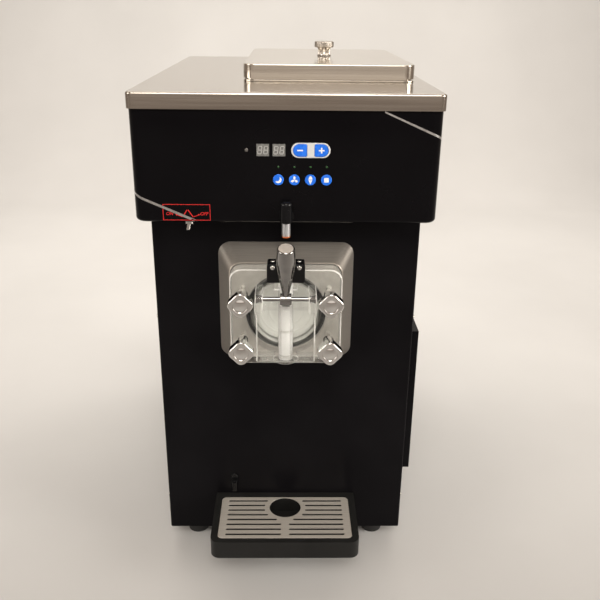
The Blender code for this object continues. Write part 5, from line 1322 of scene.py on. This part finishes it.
KEY_EDGE = 0.7 * MM
PILL_EDGE = 0.5 * MM
PILL_ROUND = 0.98
MODULE_CORNER = 0.4 * MM
DIGIT_SLANT = 0.12
DIGIT_WIDE = 4.6 * MM
DIGIT_TALL = 9.6 * MM
DIGIT_SPREAD = 0.95
SEGMENT = 1.0 * MM
SEGMENT_GAP = 0.35 * MM
LAMP_LEVEL = 642 * MM
LAMP_RADIUS = 1.4 * MM
LAMP_RISE = 0.5 * MM
ALARM_X = -51.2 * MM
ALARM_RADIUS = 2.3 * MM
ALARM_RISE = 0.6 * MM
MOON_RADIUS = 4.2 * MM
MOON_ARC = (-155, 220)
MOON_BITE = 0.8
MOON_STEPS = 24
MOON_THIN = 1.9 * MM
BLADES = 3
BLADE_OUT = 2.7 * MM
BLADE_LONG = 2.3 * MM
BLADE_WIDE = 1.5 * MM
CONE_HALF = 2.5 * MM
CONE_DEEP = 5.8 * MM
SWIRL_RISE = 0.6 * MM
SWIRL_TALL = 4.6 * MM
SIGN_REACH = 3.7 * MM
SIGN_THICK = 1.8 * MM
SQUARE_HALF = 3 * MM

keep_node("control_board", mottled("board_green", (0.01, 0.06, 0.025), (0.015, 0.09, 0.035), (0.35, 0.5)))
display_grey = mottled("display_grey", (0.15, 0.15, 0.145), (0.185, 0.185, 0.18), (0.2, 0.3), patch=200.0)
segment_grey = mottled("segment_grey", (0.38, 0.38, 0.37), (0.46, 0.46, 0.45), (0.25, 0.35), patch=200.0)


def digit(centre_x, centre_z):
    """The seven strokes of one unlit digit, leaning to the right."""
    half_x = DIGIT_WIDE / 2
    half_z = DIGIT_TALL / 2

    def slant(x, z):
        return (centre_x + x + DIGIT_SLANT * z, centre_z + z)

    strokes = []
    reach = half_x - SEGMENT_GAP
    for level in (-half_z, 0.0, half_z):
        strokes.append(line(slant(-reach, level), slant(reach, level), SEGMENT))
    for side in (-half_x, half_x):
        for bottom in (-half_z, 0.0):
            top = bottom + half_z - SEGMENT_GAP
            strokes.append(line(slant(side, bottom + SEGMENT_GAP), slant(side, top), SEGMENT))
    return strokes


for node in DISPLAYS:
    low, high, middle = extents(node)
    module = prism(box_outline(low, high, "xz", MODULE_CORNER), "Y", low.y, high.y, f"grey_{node}")
    dress(module, display_grey, "casing", "display_grey", node)
    off = (high.x - low.x) / 4 * DIGIT_SPREAD
    strokes = digit(middle.x - off, middle.z) + digit(middle.x + off, middle.z)
    dress(printed(f"digits_{node}", strokes, low.y - PRINT_PROUD), segment_grey, "casing", "display_grey")


def cushioned(name, outline, front, back, edge):
    """A key or plate along Y whose front edge is rounded."""
    rings = []
    for depth, inset in rounding(edge, 5):
        rings.append(lifted(inset_outline(outline, inset), "Y", front + depth))
    rings.append(lifted(outline, "Y", back))
    return lofted(name, rings)


def key_surround():
    low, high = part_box("key_surround")
    outline = box_outline(low, high, "xz", PILL_ROUND * (high.z - low.z) / 2, steps=16)
    pill = cushioned("white_key_surround", outline, low.y, high.y, PILL_EDGE)
    holes = [key_outline(node, FIT) for node in ("minus_key", "plus_key")]
    return carved(pill, *(prism(hole, "Y", low.y - OVERLAP, high.y + OVERLAP) for hole in holes))


pill_white = mottled("pill_white", (0.60, 0.605, 0.61), (0.66, 0.665, 0.67), (0.25, 0.35), patch=90.0)
dress(key_surround(), pill_white, "casing", "white_plastic", "key_surround")


def crescent(x, z):
    """A moon that opens to the upper left, between two arcs that share their ends."""
    points = arc((x, z), MOON_RADIUS, *MOON_ARC, MOON_STEPS)
    first = Vector(points[0])
    last = Vector(points[-1])
    away = Vector((x, z)) - (first + last) / 2
    depth = MOON_BITE * (away.length + MOON_THIN)
    away = away.normalized() if away.x > 0 else -away.normalized()
    for step in range(1, MOON_STEPS):
        share = step / MOON_STEPS
        points.append(tuple(last.lerp(first, share) + away * depth * math.sin(math.pi * share)))
    return [points]


def blades(x, z):
    shapes = []
    for blade in range(BLADES):
        turn = Matrix.Rotation(math.radians(90 + 360 * blade / BLADES), 2)
        petal = [Vector((BLADE_OUT + BLADE_LONG * a, BLADE_WIDE * b)) for a, b in circle(1.0, steps=16)]
        shapes.append([tuple(turn @ point + Vector((x, z))) for point in petal])
    return shapes


def cone(x, z):
    half_turn = arc((0.0, 0.0), 1.0, 0, 180, 12)
    swirl = [(x + CONE_HALF * a, z + SWIRL_RISE + SWIRL_TALL * b) for a, b in half_turn]
    return [swirl, [(x - CONE_HALF, z), (x, z - CONE_DEEP), (x + CONE_HALF, z)]]


def square(x, z):
    return [[(x + a * SQUARE_HALF, z + b * SQUARE_HALF) for a, b in ((-1, -1), (1, -1), (1, 1), (-1, 1))]]


def minus_sign(x, z):
    return [line((x - SIGN_REACH, z), (x + SIGN_REACH, z), SIGN_THICK)]


def plus_sign(x, z):
    halves = [line((x, z + s * SIGN_THICK / 2), (x, z + s * SIGN_REACH), SIGN_THICK) for s in (1, -1)]
    return minus_sign(x, z) + halves


key_blue = mottled("key_blue", (0.011, 0.14, 0.74), (0.020, 0.19, 0.88), (0.22, 0.32), patch=90.0)
icon_white = mottled("icon_white", (0.76, 0.79, 0.82), (0.84, 0.86, 0.88), (0.35, 0.45), patch=90.0)
for node, icon in zip(KEYS, (minus_sign, plus_sign, crescent, blades, cone, square)):
    low, high, middle = extents(node)
    key = cushioned(f"blue_{node}", key_outline(node), low.y, high.y, KEY_EDGE)
    dress(key, key_blue, node, "blue_key", node)
    mark = printed(f"icon_{node}", icon(middle.x, middle.z), low.y - PRINT_PROUD)
    dress(mark, icon_white, node, "white_plastic")

lamp_green = mottled("lamp_green", (0.012, 0.05, 0.012), (0.018, 0.075, 0.018), (0.15, 0.25), patch=300.0)
lamp_dark = mottled("lamp_dark", (0.09, 0.085, 0.08), (0.13, 0.12, 0.11), (0.12, 0.2), patch=300.0)
for node in KEYS[2:]:
    lamp_at = (extents(node)[2].x, fascia_low.y, LAMP_LEVEL)
    lamp = dome(f"lamp_{node}", LAMP_RADIUS, LAMP_RISE, lamp_at, (0, -1, 0))
    dress(lamp, lamp_green, "casing", "display_grey")
alarm_at = (ALARM_X, fascia_low.y, extents("display_left")[2].z)
alarm = dome("alarm_lamp", ALARM_RADIUS, ALARM_RISE, alarm_at, (0, -1, 0))
dress(alarm, lamp_dark, "casing", "display_grey")


# Top cover: a pressed lid of brushed stainless sheet with a short skirt and welded, polished corners.
# The brushing runs across the machine. It carries the hopper in a cut opening.

COVER_CORNER = 9 * MM
COVER_EDGE = 3 * MM
COVER_SHEET = 1.5 * MM
TANK_INSET = 11.5 * MM
TANK_CORNER = 4 * MM

cover_steel = brushed(
    "brushed_cover_steel",
    (0.49, 0.445, 0.395),
    (0.59, 0.545, 0.485),
    (0.14, 0.20),
    (5.0, 420.0, 420.0),
    relief=0.0012 * MM,
)


def top_cover():
    low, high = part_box("top_cover")

    def pressed(bottom, inset, top, name="tool"):
        rows = [(inset, bottom)]
        rows += [(inset + inward, top - down) for inward, down in rounding(COVER_EDGE, EDGE_STEPS)]
        plans = [(box_outline(low, high, "xy", COVER_CORNER - shrink, -shrink), z) for shrink, z in rows]
        return lofted(name, [lifted(plan, "Z", z) for plan, z in plans])

    cover = pressed(low.z, 0.0, high.z, "steel_top_cover")
    hollow = pressed(low.z - OVERLAP, COVER_SHEET, high.z - COVER_SHEET)
    opening = box_outline(*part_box("hopper"), "xy", TANK_CORNER, -TANK_INSET)
    return carved(cover, hollow, prism(opening, "Z", high.z - 2 * OVERLAP, high.z + OVERLAP))


dress(top_cover(), cover_steel, "casing", "brushed_steel", "top_cover")


# Hopper and lid: a welded stainless tank whose flat rim sits on the cover, and a deep-drawn lid with
# polished corners. A turned knob with a knurled cap is screwed to the middle of the lid.

HOPPER_EDGE = 0.6 * MM
LID_CORNER = 16 * MM
LID_EDGE = 1.8 * MM
LID_HEM = 1.7 * MM
LID_HEM_INSET = 3 * MM
KNOB_RIBS = 40
KNOB_RIB = 0.25 * MM
KNOB_CAP = 9.5 * MM
KNOB_STEM = 11 * MM
KNOB_WAIST = 9.4 * MM
KNOB_FOOT = 11.2 * MM
KNOB_WAIST_STEPS = 8
KNOB_BOTTOM = ((1.4, 0, 0.0), (0.4, 1, 0.6), (0.0, 1, 1.4))
KNOB_TOP = ((0.0, 1, 1.8), (0.5, 1, 0.8), (1.4, 0, 0.2), (2.4, 0, 0.0))

lid_steel = brushed(
    "polished_lid_steel",
    (0.58, 0.53, 0.465),
    (0.68, 0.63, 0.555),
    (0.12, 0.18),
    (5.0, 500.0, 500.0),
    relief=0.0012 * MM,
)
keep_node("hopper", lid_steel, HOPPER_EDGE)


def hopper_lid():
    low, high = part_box("hopper_lid")

    def plan(inset):
        return box_outline(low, high, "xy", LID_CORNER - inset, -inset)

    hem = low.z + LID_HEM
    rows = [(LID_HEM_INSET, low.z), (LID_HEM_INSET, hem), (0.0, hem)]
    rows += [(inward, high.z - down) for inward, down in rounding(LID_EDGE, EDGE_STEPS)]
    lid = lofted("steel_hopper_lid", [lifted(plan(inset), "Z", z) for inset, z in rows])
    hollow = plan(LID_HEM_INSET + COVER_SHEET)
    return carved(lid, prism(hollow, "Z", low.z - OVERLAP, high.z - COVER_SHEET))


dress(hopper_lid(), lid_steel, "hopper_lid", "polished_steel", "hopper_lid")


def lid_knob():
    low, high, middle = extents("lid_knob")
    centre = (middle.x, middle.y)
    radius = (high.x - low.x) / 2
    cap = high.z - KNOB_CAP
    rows = [(KNOB_FOOT, 0, low.z)]
    for step in range(1, KNOB_WAIST_STEPS + 1):
        share = step / KNOB_WAIST_STEPS
        waist = KNOB_FOOT + (KNOB_STEM - KNOB_FOOT) * share
        waist -= (KNOB_FOOT - KNOB_WAIST) * math.sin(math.pi * share)
        rows.append((waist, 2, low.z + (cap - low.z) * share))
    rows += [(radius - inward * MM, ribs, cap + rise * MM) for inward, ribs, rise in KNOB_BOTTOM]
    rows += [(radius - inward * MM, ribs, high.z - drop * MM) for inward, ribs, drop in KNOB_TOP]
    rings = []
    for reach, ribs, z in rows:
        half_rib = ribs * KNOB_RIB / 2
        rings.append(lifted(waved(reach - half_rib, -half_rib, KNOB_RIBS, centre, KNOB_RIBS * 6), "Z", z))
    return lofted("chrome_lid_knob", rings)


knob_steel = mottled(
    "knurled_knob_steel",
    (0.42, 0.385, 0.34),
    (0.53, 0.485, 0.43),
    (0.24, 0.34),
    patch=200.0,
    grain=2500.0,
    relief=0.004 * MM,
    metallic=1.0,
)
dress(lid_knob(), knob_steel, "hopper_lid", "chrome", "lid_knob")


# Drip side: a black moulded tray that hooks on the front panel, a slotted stainless grille laid in it,
# and the black leak spout on the panel over the tray's left end.

TRAY_CORNER = 14 * MM
TRAY_RIM = 9.5 * MM
TRAY_FLOOR = 3 * MM
TRAY_EDGE = 1.6 * MM
SEAT_SLACK = 0.5 * MM
HOOK_X = 70 * MM
HOOK_HALF = 7 * MM
HOOK_DROP = 12 * MM
HOOK_TALL = 6 * MM
LIP_TALL = 12 * MM
GRILLE_LEDGE = 4 * MM
GRILLE_CORNER = 8 * MM
GRILLE_EDGE = 1.2 * MM
GRILLE_HOLE = 24.5 * MM
GRILLE_HOLE_BACK = 26 * MM
GRILLE_LAND = 7 * MM
SLOT_WIDTH = 5 * MM
SLOT_EDGE = 0.3 * MM
SLOT_ROUND = 0.99
SLOT_PITCH = 11.4 * MM
SLOT_ROWS = 8
SLOT_END = 11 * MM
SLOT_MIDDLE = 5.5 * MM
SLOT_FIRST = 9.5 * MM
SPOUT_BEND = 6 * MM
SPOUT_BORE = 0.66
SPOUT_DEEP = 12 * MM
SPOUT_STEPS = 40
BEND_STEPS = 8

tray_plastic = mottled(
    "tray_plastic",
    (0.011, 0.011, 0.0105),
    (0.016, 0.016, 0.0155),
    (0.4, 0.5),
    patch=30.0,
    grain=1300.0,
    specular=0.2,
)
grille_steel = brushed(
    "satin_grille_steel",
    (0.64, 0.60, 0.54),
    (0.78, 0.74, 0.67),
    (0.40, 0.50),
    (9.0, 600.0, 600.0),
    metallic=0.5,
)


def drip_tray():
    low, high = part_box("drip_tray")
    back = panel_low.y - FIT
    tray = prism(front_rounded(high.x, low.y, back, TRAY_CORNER), "Z", low.z, high.z, "grey_drip_tray")
    ledge = high.x - TRAY_RIM
    seat = rounded((-ledge, ledge), (low.y + TRAY_RIM, back - TRAY_RIM + SEAT_SLACK), GRILLE_CORNER)
    inner = ledge - GRILLE_LEDGE
    bowl_inset = TRAY_RIM + GRILLE_LEDGE
    bowl = rounded((-inner, inner), (low.y + bowl_inset, back - bowl_inset), GRILLE_CORNER)
    carved(
        tray,
        prism(seat, "Z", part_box("drip_grille")[0].z - FIT, high.z + OVERLAP),
        prism(bowl, "Z", low.z + TRAY_FLOOR, high.z + 2 * OVERLAP),
    )
    behind = panel_low.y + COVER_SHEET + FIT
    top = high.z - HOOK_DROP
    hooks = []
    for x in (-HOOK_X, HOOK_X):
        for start, tall in ((back - OVERLAP, HOOK_TALL), (behind, LIP_TALL)):
            outline = rounded((x - HOOK_HALF, x + HOOK_HALF), (start, high.y), SMALL_CORNER)
            hooks.append(prism(outline, "Z", top - tall, top))
    joined(tray, *hooks)
    soft_edges(tray, TRAY_EDGE, segments=3, angle=50)
    return tray


dress(drip_tray(), tray_plastic, "drip_tray", "tray_plastic", "drip_tray")


def drip_grille():
    low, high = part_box("drip_grille")
    outline = box_outline(low, high, "xy", GRILLE_CORNER - SEAT_SLACK)
    rings = [lifted(outline, "Z", low.z)]
    for inward, down in rounding(GRILLE_EDGE, 4):
        rings.append(lifted(inset_outline(outline, inward), "Z", high.z - down))
    grille = lofted("steel_drip_grille", rings)
    bottom = low.z - OVERLAP
    top = high.z + OVERLAP
    hole_y = high.y - GRILLE_HOLE_BACK
    reach = GRILLE_HOLE + GRILLE_LAND
    end = high.x - SLOT_END
    tools = [drill(GRILLE_HOLE, (0.0, hole_y), "Z", bottom, top, 64)]
    half = SLOT_WIDTH / 2
    for row in range(SLOT_ROWS):
        y = high.y - SLOT_FIRST - row * SLOT_PITCH
        off = abs(y - hole_y)
        start = SLOT_MIDDLE
        if off < reach:
            start = max(start, math.sqrt(reach * reach - off * off))
        for x in ((-end, -start), (start, end)):
            tools.append(prism(rounded(x, (y - half, y + half), half * SLOT_ROUND, 6), "Z", bottom, top))
    carved(grille, *tools)
    soft_edges(grille, SLOT_EDGE, angle=50)
    return grille


dress(drip_grille(), grille_steel, "drip_grille", "satin_steel", "drip_grille")


def leak_spout():
    low, high, middle = extents("leak_spout")
    radius = (high.x - low.x) / 2
    drop_y = low.y + radius
    level = high.z - radius
    path = [(high.y, level, math.pi / 2)]
    for step, (fall, back) in enumerate(rounding(SPOUT_BEND, BEND_STEPS)):
        path.append((drop_y + back, level - fall, math.pi / 2 * (1 - step / BEND_STEPS)))
    path.append((drop_y, low.z, 0.0))
    rings = []
    for y, z, way in path:
        ring = circle(radius, steps=SPOUT_STEPS)
        rings.append([(middle.x + a, y + b * math.cos(way), z + b * math.sin(way)) for a, b in ring])
    bore = circle(radius * SPOUT_BORE, (middle.x, drop_y), SPOUT_STEPS)
    rings += [lifted(bore, "Z", z) for z in (low.z, low.z + SPOUT_DEEP)]
    return lofted("black_leak_spout", rings)


dress(leak_spout(), head_plastic, "casing", "black_plastic", "leak_spout")
